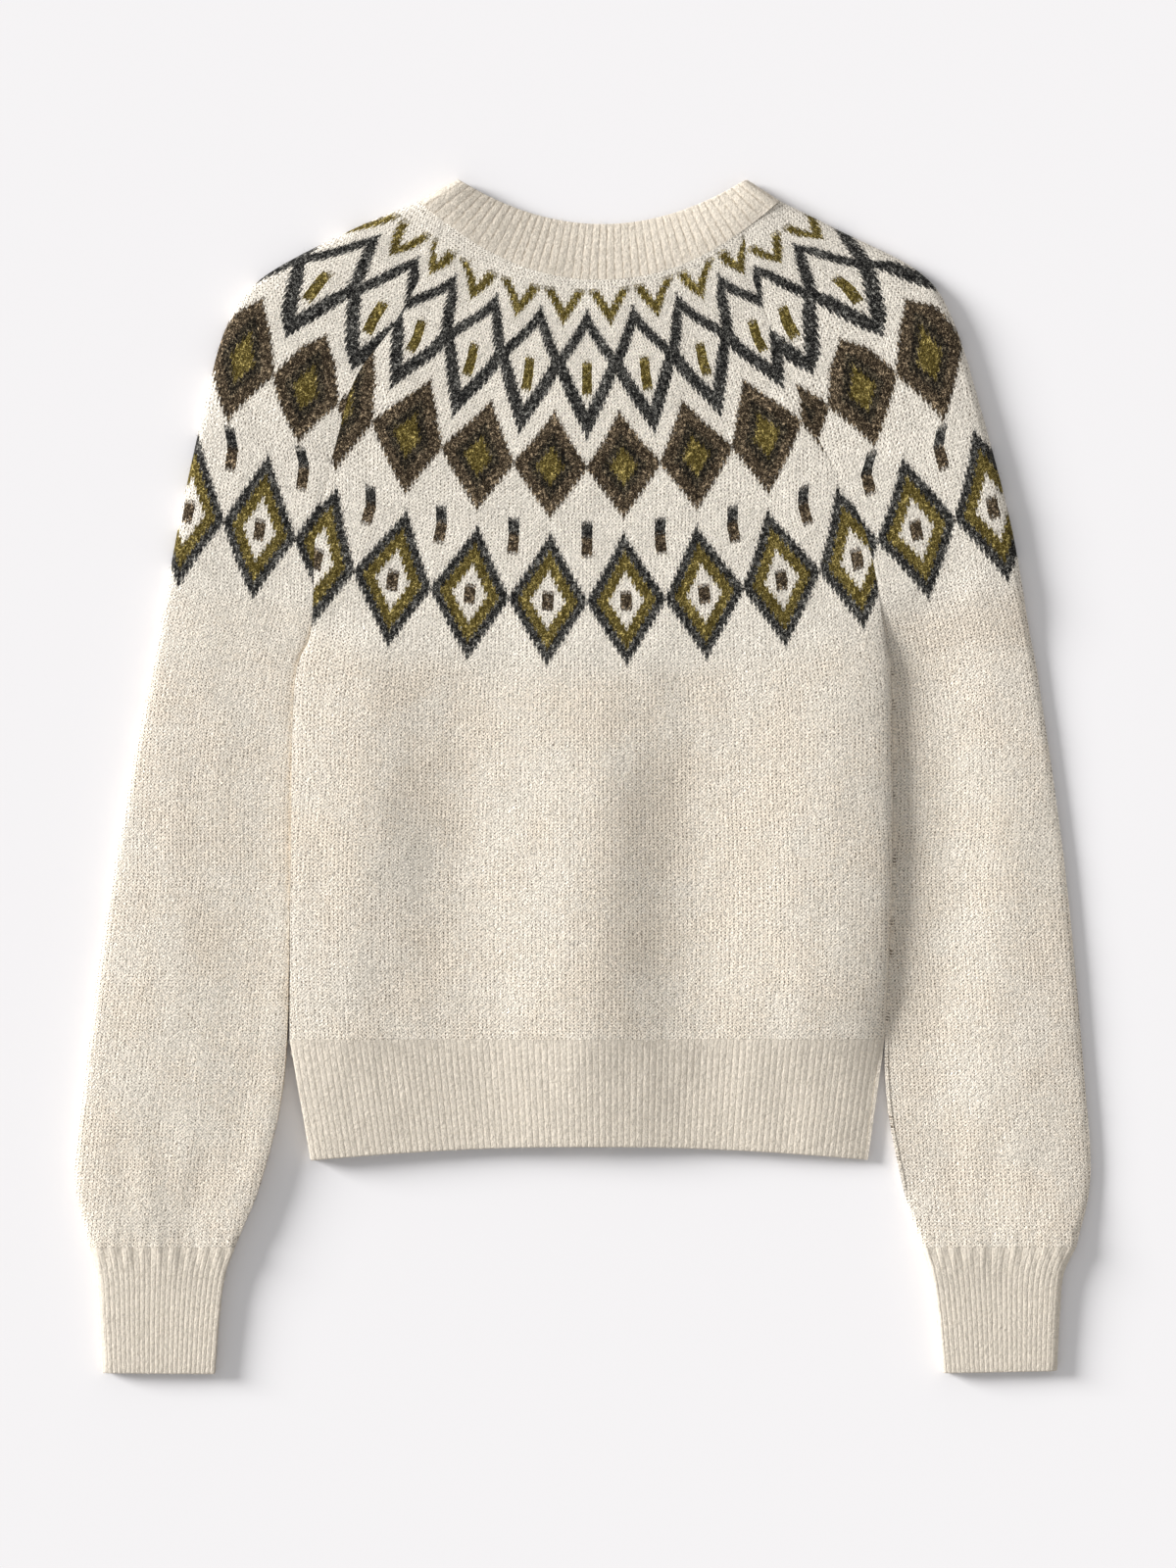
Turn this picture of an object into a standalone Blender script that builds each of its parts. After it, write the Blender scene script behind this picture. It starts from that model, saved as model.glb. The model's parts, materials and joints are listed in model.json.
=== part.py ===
"""Fair isle cardigan, buttoned and laid face down on a flat surface.

The garment is a flattened tube of knitted cloth: the back and the upper half of each sleeve
lie over the fronts and the lower half of each sleeve. Lengths are in millimetres until a mesh
is made. +Y runs from the hem to the neck, +X to the wearer's right, and z = 0 is the surface
that the fronts rest on.
"""
import math
from collections import namedtuple

import bmesh
import bpy
import numpy as np

MM = 0.001

# cloth
WALL = 3.0            # thickness of the brushed knit
BAND_WALL = 2.5       # thickness of the firmer button bands
AIR = 0.3             # left between two pieces that meet
LOFT = 3.3            # free height between the two layers
STACK = 2 * WALL + LOFT
MID = STACK / 2       # height of the side seams, and reach of a rolled edge
END_AIR = 0.5         # left between rows of two pieces that meet end to end

# buttoned centre front
CENTRE_X = 3.4
BAND_HALF = 14.0      # half the width of a button band
BAND_FLAT = 8.5       # half the width that the buttons lift off the surface
BAND_RISE = 2.3       # how far the buttons lift the band
BAND_TOP = 311.6
BAND_FOOT = -234.5
FRONT_RISE_RUN = 20.0  # width over which the left front climbs to the upper band
RIDGE_FLAT = 9.5      # half width of the ridge that the bands make in the back
RIDGE_FOOT = 18.0
BUTTON_COUNT = 7
BUTTON_MARGIN = 13.0  # from the ends of the band to the first and last button
BUTTON_SIDES = 16
BUTTON_PROFILE = [(0.0, 2.0), (6.7, 2.0), (7.5, 1.4), (7.5, 0.5), (7.0, 0.0), (5.6, 0.0),
                  (5.0, 0.5), (0.0, 0.5)]  # radius and height, from the back to the dished front

# ribs, one rib and one furrow to a pitch
RIB = 1.0             # how far a rib stands out
HEM_RIBS = 90
CUFF_RIBS = 20
NECK_RIBS = 44

# mesh density
ROW_STEPS = 2         # rows made for each row of a table
ROLL_STEPS = 2        # steps in a rolled side seam
FOLD_STEPS = 3        # steps in a quarter of an outer fold
BODY_COLUMNS = 7      # flat columns on either side of the ridge
SLEEVE_COLUMNS = 6
UNDER_COLUMNS = 4
ROLL_MARGIN = 2.5 * MID           # from a side seam to the first flat column of the body
TUBE_MARGIN = 0.06                # part of a sleeve's row before its first flat column
RIB_MARGIN = 1.3 * MID            # from a side seam to the first rib of the hem
NECK_MARGIN = 0.03                # part of the neck's curve before its first rib
RISE_COLUMNS = (0.35, 0.7, 1.05)  # columns of a front beside the bands, in parts of the rise
FRONT_NECK_COLUMNS = (0.06, 0.12, 0.2, 0.35, 0.5, 0.65, 0.8, 0.92)
LEAST_SLANT = 0.6                 # limits how far a fold aslant to its row is widened

# Curves of the neck in plan: y = tip - depth * (1 - (|x - centre| / half) ** power)
Curve = namedtuple("Curve", "centre half tip depth power")
BACK_SEAM = Curve(10.9, 114.05, 364.5, 50.5, 2.1)
BACK_EDGE = Curve(12.4, 91.4, 378.2, 28.0, 2.0)
FRONT_SEAM = Curve(10.9, 114.05, 364.5, 90.0, 2.1)
FRONT_EDGE = Curve(12.4, 91.4, 378.2, 66.6, 2.0)
FRONT_DROP_ROWS = 3   # table rows over which the front raglan joins the back one
NECK_SINK = 5.5       # the back of the neckband sinks where no front lies under it
NECK_SINK_RUN = 39.0

# Sleeves from the neck to the cuff seam: where the raglan or underarm seam and the outer
# fold lie in plan, and how far the seam is rolled, 0 being a flat raglan.
SleeveRow = namedtuple("SleeveRow", "seam_x seam_y fold_x fold_y roll")
LEFT_SLEEVE = [
    SleeveRow(-86.5, 349.4, -103.2, 364.5, 0),
    SleeveRow(-97.7, 323.9, -151.6, 343.8, 0),
    SleeveRow(-120.6, 283.7, -204.3, 314.7, 0),
    SleeveRow(-142.9, 252.7, -226.0, 283.7, 0),
    SleeveRow(-155.3, 212.4, -240.3, 231.0, 0),
    SleeveRow(-168.3, 156.6, -254.5, 165.9, 0),
    SleeveRow(-171.4, 93.3, -267.5, 95.8, 0),
    SleeveRow(-182.0, 57.4, -275.0, 57.4, 1),
    SleeveRow(-184.4, -60.0, -297.3, -60.0, 1),
    SleeveRow(-188.0, -183.2, -314.6, -183.2, 1),
    SleeveRow(-202.4, -252.7, -321.5, -252.7, 1),
    SleeveRow(-219.8, -297.3, -312.2, -297.3, 1),
]
RIGHT_SLEEVE = [
    SleeveRow(101.4, 345.0, 124.9, 364.5, 0),
    SleeveRow(107.6, 314.6, 161.5, 346.3, 0),
    SleeveRow(118.1, 284.9, 213.0, 319.6, 0),
    SleeveRow(131.1, 255.8, 234.1, 289.9, 0),
    SleeveRow(148.0, 215.5, 252.7, 231.0, 0),
    SleeveRow(178.0, 156.6, 271.9, 156.6, 0),
    SleeveRow(191.9, 85.2, 283.0, 91.5, 0),
    SleeveRow(195.6, 57.4, 289.2, 57.4, 1),
    SleeveRow(196.2, -60.0, 305.7, -60.0, 1),
    SleeveRow(191.3, -183.2, 317.1, -183.2, 1),
    SleeveRow(201.2, -252.7, 321.5, -252.7, 1),
    SleeveRow(214.8, -297.3, 312.8, -297.3, 1),
]
YOKE_ROWS = 7         # table rows from the neck to the underarm
SHARED_ROWS = 9       # table rows whose seam the body and the sleeves share

# Body below the shared rows, and the ribs: left and right edges in plan
EdgeRow = namedtuple("EdgeRow", "left_x left_y right_x right_y roll")
WAIST = EdgeRow(-185.1, -165.8, 191.3, -165.8, 1)
HEM_ROWS = [EdgeRow(-185.1, -166.3, 191.3, -166.3, 1), EdgeRow(-171.9, -242.7, 180.6, -242.7, 1)]
HEM_ARCH = 8.7        # how far the middle of the hem lies above its corners
LEFT_CUFF = [
    EdgeRow(-219.8, -297.8, -312.2, -297.8, 1),
    EdgeRow(-226.0, -314.6, -307.8, -314.6, 1),
    EdgeRow(-229.7, -339.4, -306.0, -339.4, 1),
    EdgeRow(-232.8, -377.9, -304.1, -377.3, 1),
]
RIGHT_CUFF = [
    EdgeRow(214.8, -297.8, 312.8, -297.8, 1),
    EdgeRow(220.4, -314.6, 304.7, -314.6, 1),
    EdgeRow(224.1, -339.4, 302.2, -339.4, 1),
    EdgeRow(227.8, -377.3, 300.4, -376.0, 1),
]
HEM_SINK = 1.8        # the upper layer comes down towards the hem and the cuffs' ends
CUFF_SINK = 1.6

# Largest folds: a soft trough from one point to another, or a ridge where depth is negative
Fold = namedtuple("Fold", "x0 y0 x1 y1 half_width depth")
FOLDS = [
    Fold(-100, 70, -104, -190, 13, 2.2),
    Fold(-60, -20, -57, -160, 11, 1.1),
    Fold(34, 40, 37, -150, 12, 1.3),
    Fold(92, 20, 88, -165, 12, 1.2),
    Fold(166, 30, 170, -165, 12, 1.5),
    Fold(-136, 60, -139, -120, 12, -0.5),
    Fold(-152, 92, -106, 118, 11, 1.6),
    Fold(172, 92, 126, 120, 12, 1.8),
    Fold(-200, 80, -236, -60, 11, 1.7),
    Fold(212, 84, 244, -80, 12, 2.0),
    Fold(-252, -60, -268, -230, 14, 1.2),
    Fold(262, -70, 276, -230, 14, 1.3),
    Fold(-225, 240, -178, 150, 12, 1.0),
    Fold(236, 238, 206, 150, 12, 1.1),
    Fold(-292, -262, -240, -266, 10, -0.6),
    Fold(292, -262, 238, -266, 10, -0.6),
]
FOLD_FADE = 40.0      # length over which a fold runs out past its two points
DEEPEST = 2.8         # folds that meet stay shallower than this

# How an edge of a wall ends: roll 0 lies flat against a seam, 1 turns over to the other layer
Edge = namedtuple("Edge", "roll steps reach outward air")

OATMEAL = (0.66, 0.60, 0.50)
IVORY = (0.74, 0.70, 0.62)
HORN = (0.20, 0.12, 0.07)


def clear_scene():
    for old in list(bpy.data.objects):
        bpy.data.objects.remove(old, do_unlink=True)


def material(name, colour, roughness):
    made = bpy.data.materials.new(name)
    made.use_nodes = True
    shader = made.node_tree.nodes["Principled BSDF"]
    shader.inputs["Base Color"].default_value = (*colour, 1.0)
    shader.inputs["Roughness"].default_value = roughness
    shader.inputs["Metallic"].default_value = 0.0
    return made


def ease(t):
    """1 at t = 0 falling smoothly to 0 at t = 1."""
    return 0.5 + 0.5 * math.cos(math.pi * min(max(t, 0.0), 1.0))


def neck_y(curve, x):
    return curve.tip - curve.depth * (1 - (abs(x - curve.centre) / curve.half) ** curve.power)


def refine(rows, steps):
    """Rows of a table with smooth rows between them; the last column changes evenly."""
    rows = np.array(rows, dtype=float)
    before = 2 * rows[0] - rows[1]
    after = 2 * rows[-1] - rows[-2]
    padded = np.vstack([before, rows, after])
    fine = []
    for i in range(len(rows) - 1):
        a, b, c, d = padded[i:i + 4]
        for t in np.arange(steps) / steps:
            bend = (2 * a - 5 * b + 4 * c - d) * t ** 2 + (3 * b - a - 3 * c + d) * t ** 3
            row = 0.5 * (2 * b + (c - a) * t + bend)
            row[-1] = b[-1] + (c[-1] - b[-1]) * t
            fine.append(row)
    fine.append(rows[-1])
    return np.array(fine)


def fold_depth(x, y):
    """Depth of all the soft folds at one place, less than the free height between the layers."""
    total = 0.0
    for fold in FOLDS:
        run = np.array([fold.x1 - fold.x0, fold.y1 - fold.y0])
        length = np.hypot(*run)
        away = np.array([x - fold.x0, y - fold.y0])
        along = away @ run / length
        across = (away[0] * run[1] - away[1] * run[0]) / length
        past_end = max(0.0, -along, along - length)
        total += fold.depth * math.exp(-(across / fold.half_width) ** 2) * ease(past_end / FOLD_FADE)
    return DEEPEST * math.tanh(total / DEEPEST)


def upper_height(x, y, sink=0.0):
    """Height of the upper layer's outer side, lifted where the button bands lie under it."""
    base = max(STACK - fold_depth(x, y) - sink, under_height(x, y) + 2 * WALL + 2 * AIR)
    over_bands = BAND_RISE + 2 * BAND_WALL + 2 * AIR + WALL
    ridge = ease((abs(x - CENTRE_X) - RIDGE_FLAT) / (RIDGE_FOOT - RIDGE_FLAT))
    return base + (over_bands - base) * ridge


def band_rise(offset):
    """Height of the lower band's under side at a distance from the centre front."""
    return BAND_RISE * ease((abs(offset) - BAND_FLAT) / (BAND_HALF - BAND_FLAT))


def under_height(x, _y):
    """Height of the lower layer's outer side: it climbs to the upper band on the left."""
    away = CENTRE_X - BAND_HALF - x
    if away < -BAND_HALF:
        return 0.0
    return (BAND_WALL + AIR) * ease(away / FRONT_RISE_RUN)


def row_plan(start, end, curve=None, weight=0.0):
    """Plan of a row from start to end, bent like the neck curve by weight."""
    start, end = np.array(start), np.array(end)

    def plan(u):
        point = start + (end - start) * u
        if weight:
            chord = neck_y(curve, start[0]) * (1 - u) + neck_y(curve, end[0]) * u
            point[1] += weight * (neck_y(curve, point[0]) - chord)
        return point

    return plan


def strip(plan, side, first, last, middle, height, rib=0.0):
    """One section of a wall from edge to edge: outer points, and plain inner points.

    side is +1 for the upper layer and -1 for the lower one; middle holds the fractions of
    the row at which the flat part has a point. Every other outer point stands out by rib.
    """
    length = np.hypot(*(plan(1.0) - plan(0.0)))
    stations = []
    for k in range(first.steps + 1):
        angle = math.pi / 2 * (1 - k / first.steps)
        stations.append((first.reach * (1 - math.sin(angle)) / length, angle, first))
    stations += [(u, 0.0, first) for u in middle]
    for k in range(last.steps + 1):
        angle = math.pi / 2 * k / last.steps
        stations.append((1 - last.reach * (1 - math.sin(angle)) / length, angle, last))

    outer, inner = [], []
    for i, (u, angle, edge) in enumerate(stations):
        outward = np.array(edge.outward)
        spot = plan(u) - outward * edge.air * math.sin(angle)
        flat = height(*spot)
        rolled = MID + (flat - MID) * math.cos(angle) + side * AIR / 2 * math.sin(angle)
        lean = edge.roll * angle
        normal = np.array([*(outward * math.sin(lean)), side * math.cos(lean)])
        point = np.array([*spot, flat + edge.roll * (rolled - flat)])
        raised = rib if i % 2 and i < len(stations) - 1 else 0.0
        outer.append(point + normal * raised)
        inner.append(point - normal * WALL)
    return outer, inner


def wall_object(name, outer, inner, cloth, collection):
    """Closed wall between a grid of outer points and a grid of inner points."""
    outer, inner = np.array(outer), np.array(inner)
    rows, columns = outer.shape[:2]
    mesh = bmesh.new()
    layers = [[[mesh.verts.new(p * MM) for p in row] for row in grid] for grid in (outer, inner)]
    for layer in layers:
        for i in range(rows - 1):
            for j in range(columns - 1):
                mesh.faces.new((layer[i][j], layer[i][j + 1], layer[i + 1][j + 1], layer[i + 1][j]))
    rim = [(0, j) for j in range(columns)] + [(i, columns - 1) for i in range(1, rows)]
    rim += [(rows - 1, j) for j in range(columns - 2, -1, -1)] + [(i, 0) for i in range(rows - 2, 0, -1)]
    for (i, j), (k, m) in zip(rim, rim[1:] + rim[:1]):
        mesh.faces.new((layers[0][i][j], layers[0][k][m], layers[1][k][m], layers[1][i][j]))
    bmesh.ops.recalc_face_normals(mesh, faces=mesh.faces)
    data = bpy.data.meshes.new(name)
    mesh.to_mesh(data)
    mesh.free()
    data.materials.append(cloth)
    made = bpy.data.objects.new(name, data)
    collection.objects.link(made)
    return made


def even_columns(count):
    """Fractions of the flat part's inner columns, clear of both ends."""
    return np.linspace(TUBE_MARGIN, 1 - TUBE_MARGIN, count)


def body_rows():
    """Left and right seams of the back from the neck to the hem rib, one row each."""
    table = [
        EdgeRow(left.seam_x, left.seam_y, right.seam_x, right.seam_y, left.roll)
        for left, right in zip(LEFT_SLEEVE[:SHARED_ROWS], RIGHT_SLEEVE[:SHARED_ROWS])
    ]
    return refine(table + [WAIST], ROW_STEPS)


def front_drop(index, neck_x):
    """How far the front raglan that starts at neck_x lies below the back one at a fine row."""
    fade = ease(index / (FRONT_DROP_ROWS * ROW_STEPS))
    return fade * (neck_y(BACK_SEAM, neck_x) - neck_y(FRONT_SEAM, neck_x))


def bend_weight(index, rows_bent):
    """Rows bend like the neck curve at the neck, and are straight lower down."""
    return max(0.0, 1 - index / (rows_bent * ROW_STEPS))


def seam_ends(index, row, curve):
    """Row ends for a body wall: at the neck curve in the first row, else on the seam."""
    ends = []
    for sleeve, x, y in ((LEFT_SLEEVE, row[0], row[1]), (RIGHT_SLEEVE, row[2], row[3])):
        if index == 0:
            y = neck_y(curve, x) - END_AIR
        elif curve is FRONT_SEAM:
            y -= front_drop(index, sleeve[0].seam_x)
        ends.append((x, y))
    return ends


def ridge_fractions(left_x, right_x):
    """Columns of the back: close together where the ridge over the bands rises."""
    offsets = (-RIDGE_FOOT, -RIDGE_FLAT, 0.0, RIDGE_FLAT, RIDGE_FOOT)
    ridge = [CENTRE_X + offset for offset in offsets]
    left = np.linspace(left_x + ROLL_MARGIN, ridge[0], BODY_COLUMNS + 1)[:-1]
    right = np.linspace(ridge[-1], right_x - ROLL_MARGIN, BODY_COLUMNS + 1)[1:]
    return [(x - left_x) / (right_x - left_x) for x in (*left, *ridge, *right)]


def side_edge(roll, outward_x):
    return Edge(roll, ROLL_STEPS, MID, (outward_x, 0.0), AIR)


def placket_edge(outward_x):
    return Edge(0, 1, AIR, (outward_x, 0.0), 0.0)


def front_edges(side, roll):
    """First and last edge of a front, from left to right: its side seam and its placket."""
    edges = side_edge(roll, side), placket_edge(-side)
    return edges if side < 0 else edges[::-1]


def make_back(cloth, collection):
    outer, inner = [], []
    for index, row in enumerate(body_rows()):
        start, end = seam_ends(index, row, BACK_SEAM)
        plan = row_plan(start, end, BACK_SEAM, bend_weight(index, YOKE_ROWS - 1))
        middle = ridge_fractions(start[0], end[0])
        edges = side_edge(row[4], -1.0), side_edge(row[4], 1.0)
        points = strip(plan, 1, *edges, middle, upper_height)
        outer.append(points[0])
        inner.append(points[1])
    wall_object("back", outer, inner, cloth, collection)


def make_front(name, side, cloth, collection):
    """side is -1 for the wearer's left front and +1 for the right one."""
    outer, inner = [], []
    band_x = CENTRE_X + side * (BAND_HALF + AIR)
    near_band = [band_x + side * FRONT_RISE_RUN * part for part in RISE_COLUMNS]
    for index, row in enumerate(body_rows()):
        ends = seam_ends(index, row, FRONT_SEAM)
        whole = row_plan(*ends, FRONT_SEAM, bend_weight(index, YOKE_ROWS - 1))
        left_x, right_x = ends[0][0], ends[1][0]
        seam_x = left_x if side < 0 else right_x
        far = np.linspace(near_band[-1], seam_x - side * ROLL_MARGIN, UNDER_COLUMNS + 1)[1:]
        low, span = min(seam_x, band_x), abs(seam_x - band_x)

        def plan(u, low=low, span=span, whole=whole, left_x=left_x, width=right_x - left_x):
            return whole((low + u * span - left_x) / width)

        middle = [(x - low) / span for x in sorted([*near_band, *far])]
        points = strip(plan, -1, *front_edges(side, row[4]), middle, under_height)
        outer.append(points[0])
        inner.append(points[1])
    wall_object(name, outer, inner, cloth, collection)


def flattened_tube(name, rows, columns, height, cloth, collection, rib=0.0, neck_end=False):
    """Sleeve or cuff: one wall from its back seam over the outer fold to its front seam.

    With neck_end the fold starts on the shoulder, where it runs aslant to the rows.
    """
    outer, inner = [], []
    tangents = np.gradient(rows[:, 2:4], axis=0)
    for index, row in enumerate(rows):
        seam, fold = row[:2].copy(), row[2:4].copy()
        side = math.copysign(1.0, fold[0])
        outward = np.array([side, 0.0])
        if neck_end and index < ROW_STEPS * YOKE_ROWS:
            tangent = tangents[index] / np.hypot(*tangents[index])
            outward = np.array([-tangent[1], tangent[0]]) * side
        along = (fold - seam) / np.hypot(*(fold - seam))
        reach = MID / max(along @ outward, LEAST_SLANT)
        under = seam.copy()
        weight = 0.0
        if neck_end:
            weight = bend_weight(index, 1)
            under[1] -= front_drop(index, rows[0, 0])
            if index == 0:
                seam[1] = neck_y(BACK_SEAM, seam[0]) - END_AIR
                under[1] = neck_y(FRONT_SEAM, seam[0]) - END_AIR
                fold[1] -= END_AIR
        seam_edge = side_edge(row[4], -side)
        fold_edge = Edge(1, FOLD_STEPS, reach, tuple(outward), 0.0)
        tops = strip(row_plan(seam, fold, BACK_SEAM, weight), 1, seam_edge, fold_edge,
                     even_columns(columns), height, rib)
        unders = strip(row_plan(under, fold, FRONT_SEAM, weight), -1, seam_edge, fold_edge,
                       even_columns(UNDER_COLUMNS), under_height)
        outer.append(tops[0] + unders[0][-2::-1])
        inner.append(tops[1] + unders[1][-2::-1])
    wall_object(name, outer, inner, cloth, collection)


def make_hem_back(cloth, collection):
    outer, inner = [], []
    for index, row in enumerate(HEM_ROWS):
        arch = HEM_ARCH * index / (len(HEM_ROWS) - 1)
        straight = row_plan(row[:2], row[2:4])

        def plan(u, arch=arch, straight=straight):
            return straight(u) + np.array([0.0, arch * (1 - (2 * u - 1) ** 2)])

        def height(x, y, sink=HEM_SINK * index):
            return upper_height(x, y, sink)

        margin = RIB_MARGIN / (row[2] - row[0])
        middle = np.linspace(margin, 1 - margin, 2 * HEM_RIBS)
        edges = side_edge(1, -1.0), side_edge(1, 1.0)
        points = strip(plan, 1, *edges, middle, height, RIB)
        outer.append(points[0])
        inner.append(points[1])
    wall_object("hem_rib_back", outer, inner, cloth, collection)


def make_hem_front(name, side, cloth, collection):
    outer, inner = [], []
    band_x = CENTRE_X + side * (BAND_HALF + AIR)
    for index, row in enumerate(HEM_ROWS):
        arch = HEM_ARCH * index / (len(HEM_ROWS) - 1)
        seam_x = row[0] if side < 0 else row[2]
        low, span = min(seam_x, band_x), abs(seam_x - band_x)

        def plan(u, low=low, span=span, row=row, arch=arch):
            across = (low + u * span - row[0]) / (row[2] - row[0])
            return np.array([low + u * span, row[1] + arch * (1 - (2 * across - 1) ** 2)])

        near = [band_x + side * FRONT_RISE_RUN * part for part in RISE_COLUMNS]
        far = np.linspace(near[-1], seam_x - side * ROLL_MARGIN, UNDER_COLUMNS + 1)[1:]
        middle = [(x - low) / span for x in sorted([*near, *far])]
        points = strip(plan, -1, *front_edges(side, 1), middle, under_height)
        outer.append(points[0])
        inner.append(points[1])
    wall_object(name, outer, inner, cloth, collection)


def neck_point(seam, edge, x_fraction, across):
    """Plan point of the neckband: across runs from its seam to its free edge."""
    low_x = seam.centre + seam.half * x_fraction
    high_x = edge.centre + edge.half * x_fraction
    low = np.array([low_x, neck_y(seam, low_x)])
    high = np.array([high_x, neck_y(edge, high_x)])
    return low + (high - low) * across


def make_neckband(cloth, collection):
    """Ring round the neck, open at the bands: fronts below, ribbed back above."""
    outer, inner = [], []
    for across in (0.0, 0.5, 1.0):

        def back_plan(u, across=across):
            return neck_point(BACK_SEAM, BACK_EDGE, 2 * u - 1, across)

        def back_height(x, y, across=across):
            seam_z = upper_height(x, min(y, BACK_SEAM.tip))
            free = (neck_y(BACK_EDGE, x) - neck_y(FRONT_EDGE, x)) / NECK_SINK_RUN
            edge_z = STACK - NECK_SINK * min(max(free, 0.0), 1.0)
            return seam_z + (edge_z - seam_z) * across

        tips = []
        for x_sign in (-1, 1):
            end = 0.0 if x_sign < 0 else 1.0
            away = back_plan(end) - back_plan(end - x_sign * NECK_MARGIN)
            tips.append(tuple(away / np.hypot(*away)))
        folds = [Edge(1, FOLD_STEPS, MID, tip, 0.0) for tip in tips]
        ribs = np.linspace(NECK_MARGIN, 1 - NECK_MARGIN, 2 * NECK_RIBS)
        back = strip(back_plan, 1, *folds, ribs, back_height, RIB)

        halves = []
        for x_sign, fold in zip((-1, 1), folds):
            meet_x = CENTRE_X + x_sign * (BAND_HALF + AIR)
            curve_centre = FRONT_SEAM.centre + (FRONT_EDGE.centre - FRONT_SEAM.centre) * across
            curve_half = FRONT_SEAM.half + (FRONT_EDGE.half - FRONT_SEAM.half) * across
            meet = (meet_x - curve_centre) / curve_half

            def front_plan(u, x_sign=x_sign, meet=meet, across=across):
                return neck_point(FRONT_SEAM, FRONT_EDGE, x_sign + (meet - x_sign) * (1 - u), across)

            halves.append(strip(front_plan, -1, placket_edge(-x_sign), fold, FRONT_NECK_COLUMNS,
                                under_height))
        left, right = halves
        outer.append(left[0][:-1] + back[0] + right[0][-2::-1])
        inner.append(left[1][:-1] + back[1] + right[1][-2::-1])
    wall_object("neckband", outer, inner, cloth, collection)


def make_band(name, lift, cloth, collection):
    """Button band: a long strip, arched over the buttons."""
    steps = [-BAND_HALF, -(BAND_HALF + BAND_FLAT) / 2, -BAND_FLAT, 0.0]
    offsets = steps + [-step for step in steps[-2::-1]]
    outer, inner = [], []
    for y in (BAND_FOOT, BAND_TOP):
        outer.append([(CENTRE_X + x, y, band_rise(x) + lift) for x in offsets])
        inner.append([(CENTRE_X + x, y, band_rise(x) + lift + BAND_WALL) for x in offsets])
    wall_object(name, outer, inner, cloth, collection)


def make_button(name, y, horn, collection):
    """Turned button with a raised rim, its front resting on the surface."""
    data = bpy.data.meshes.new(name)
    vertices = [(radius * MM, 0.0, height * MM) for radius, height in BUTTON_PROFILE]
    data.from_pydata(vertices, [(i, i + 1) for i in range(len(vertices) - 1)], [])
    data.materials.append(horn)
    made = bpy.data.objects.new(name, data)
    made.location = (CENTRE_X * MM, y * MM, 0.0)
    turned = made.modifiers.new("turned", "SCREW")
    turned.steps = BUTTON_SIDES
    turned.render_steps = BUTTON_SIDES
    turned.use_merge_vertices = True
    turned.merge_threshold = 0.0001
    turned.use_normal_calculate = True
    collection.objects.link(made)
    return made


def centre_on_origin(collection):
    """Put the middle of the whole outline over the origin."""
    bpy.context.view_layer.update()
    corners = [part.matrix_world @ vertex.co for part in collection.objects for vertex in part.data.vertices]
    for axis in (0, 1):
        values = [corner[axis] for corner in corners]
        middle = (min(values) + max(values)) / 2
        for part in collection.objects:
            part.location[axis] -= middle


def build():
    clear_scene()
    collection = bpy.data.collections.new("fair isle cardigan")
    bpy.context.scene.collection.children.link(collection)

    make_back(material("back knit", IVORY, 0.9), collection)
    for name, side in (("front_left", -1), ("front_right", 1)):
        make_front(name, side, material(name + " knit", IVORY, 0.9), collection)
        make_hem_front("hem_rib_" + name, side, material(name + " hem rib", OATMEAL, 0.9), collection)
    make_hem_back(material("back hem rib", OATMEAL, 0.9), collection)

    sides = (("left", LEFT_SLEEVE, LEFT_CUFF), ("right", RIGHT_SLEEVE, RIGHT_CUFF))
    for name, sleeve, cuff in sides:
        flattened_tube("sleeve_" + name, refine(sleeve, ROW_STEPS), SLEEVE_COLUMNS, upper_height,
                       material(name + " sleeve knit", IVORY, 0.9), collection, neck_end=True)

        def cuff_height(x, y, foot=cuff[-1].left_y, top=cuff[0].left_y):
            return upper_height(x, y, CUFF_SINK * (top - y) / (top - foot))

        flattened_tube("cuff_" + name, np.array(cuff), 2 * CUFF_RIBS, cuff_height,
                       material(name + " cuff rib", OATMEAL, 0.9), collection, rib=RIB)

    make_neckband(material("neckband rib", OATMEAL, 0.9), collection)
    band_cloth = material("band knit", OATMEAL, 0.9)
    make_band("buttonhole_band", 0.0, band_cloth, collection)
    make_band("button_band", BAND_WALL + AIR, band_cloth, collection)
    horn = material("horn", HORN, 0.45)
    spots = np.linspace(BAND_FOOT + BUTTON_MARGIN, BAND_TOP - BUTTON_MARGIN, BUTTON_COUNT)
    for number, y in enumerate(spots, start=1):
        make_button(f"button_{number}", y, horn, collection)

    centre_on_origin(collection)


build()
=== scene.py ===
import json
import math

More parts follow.
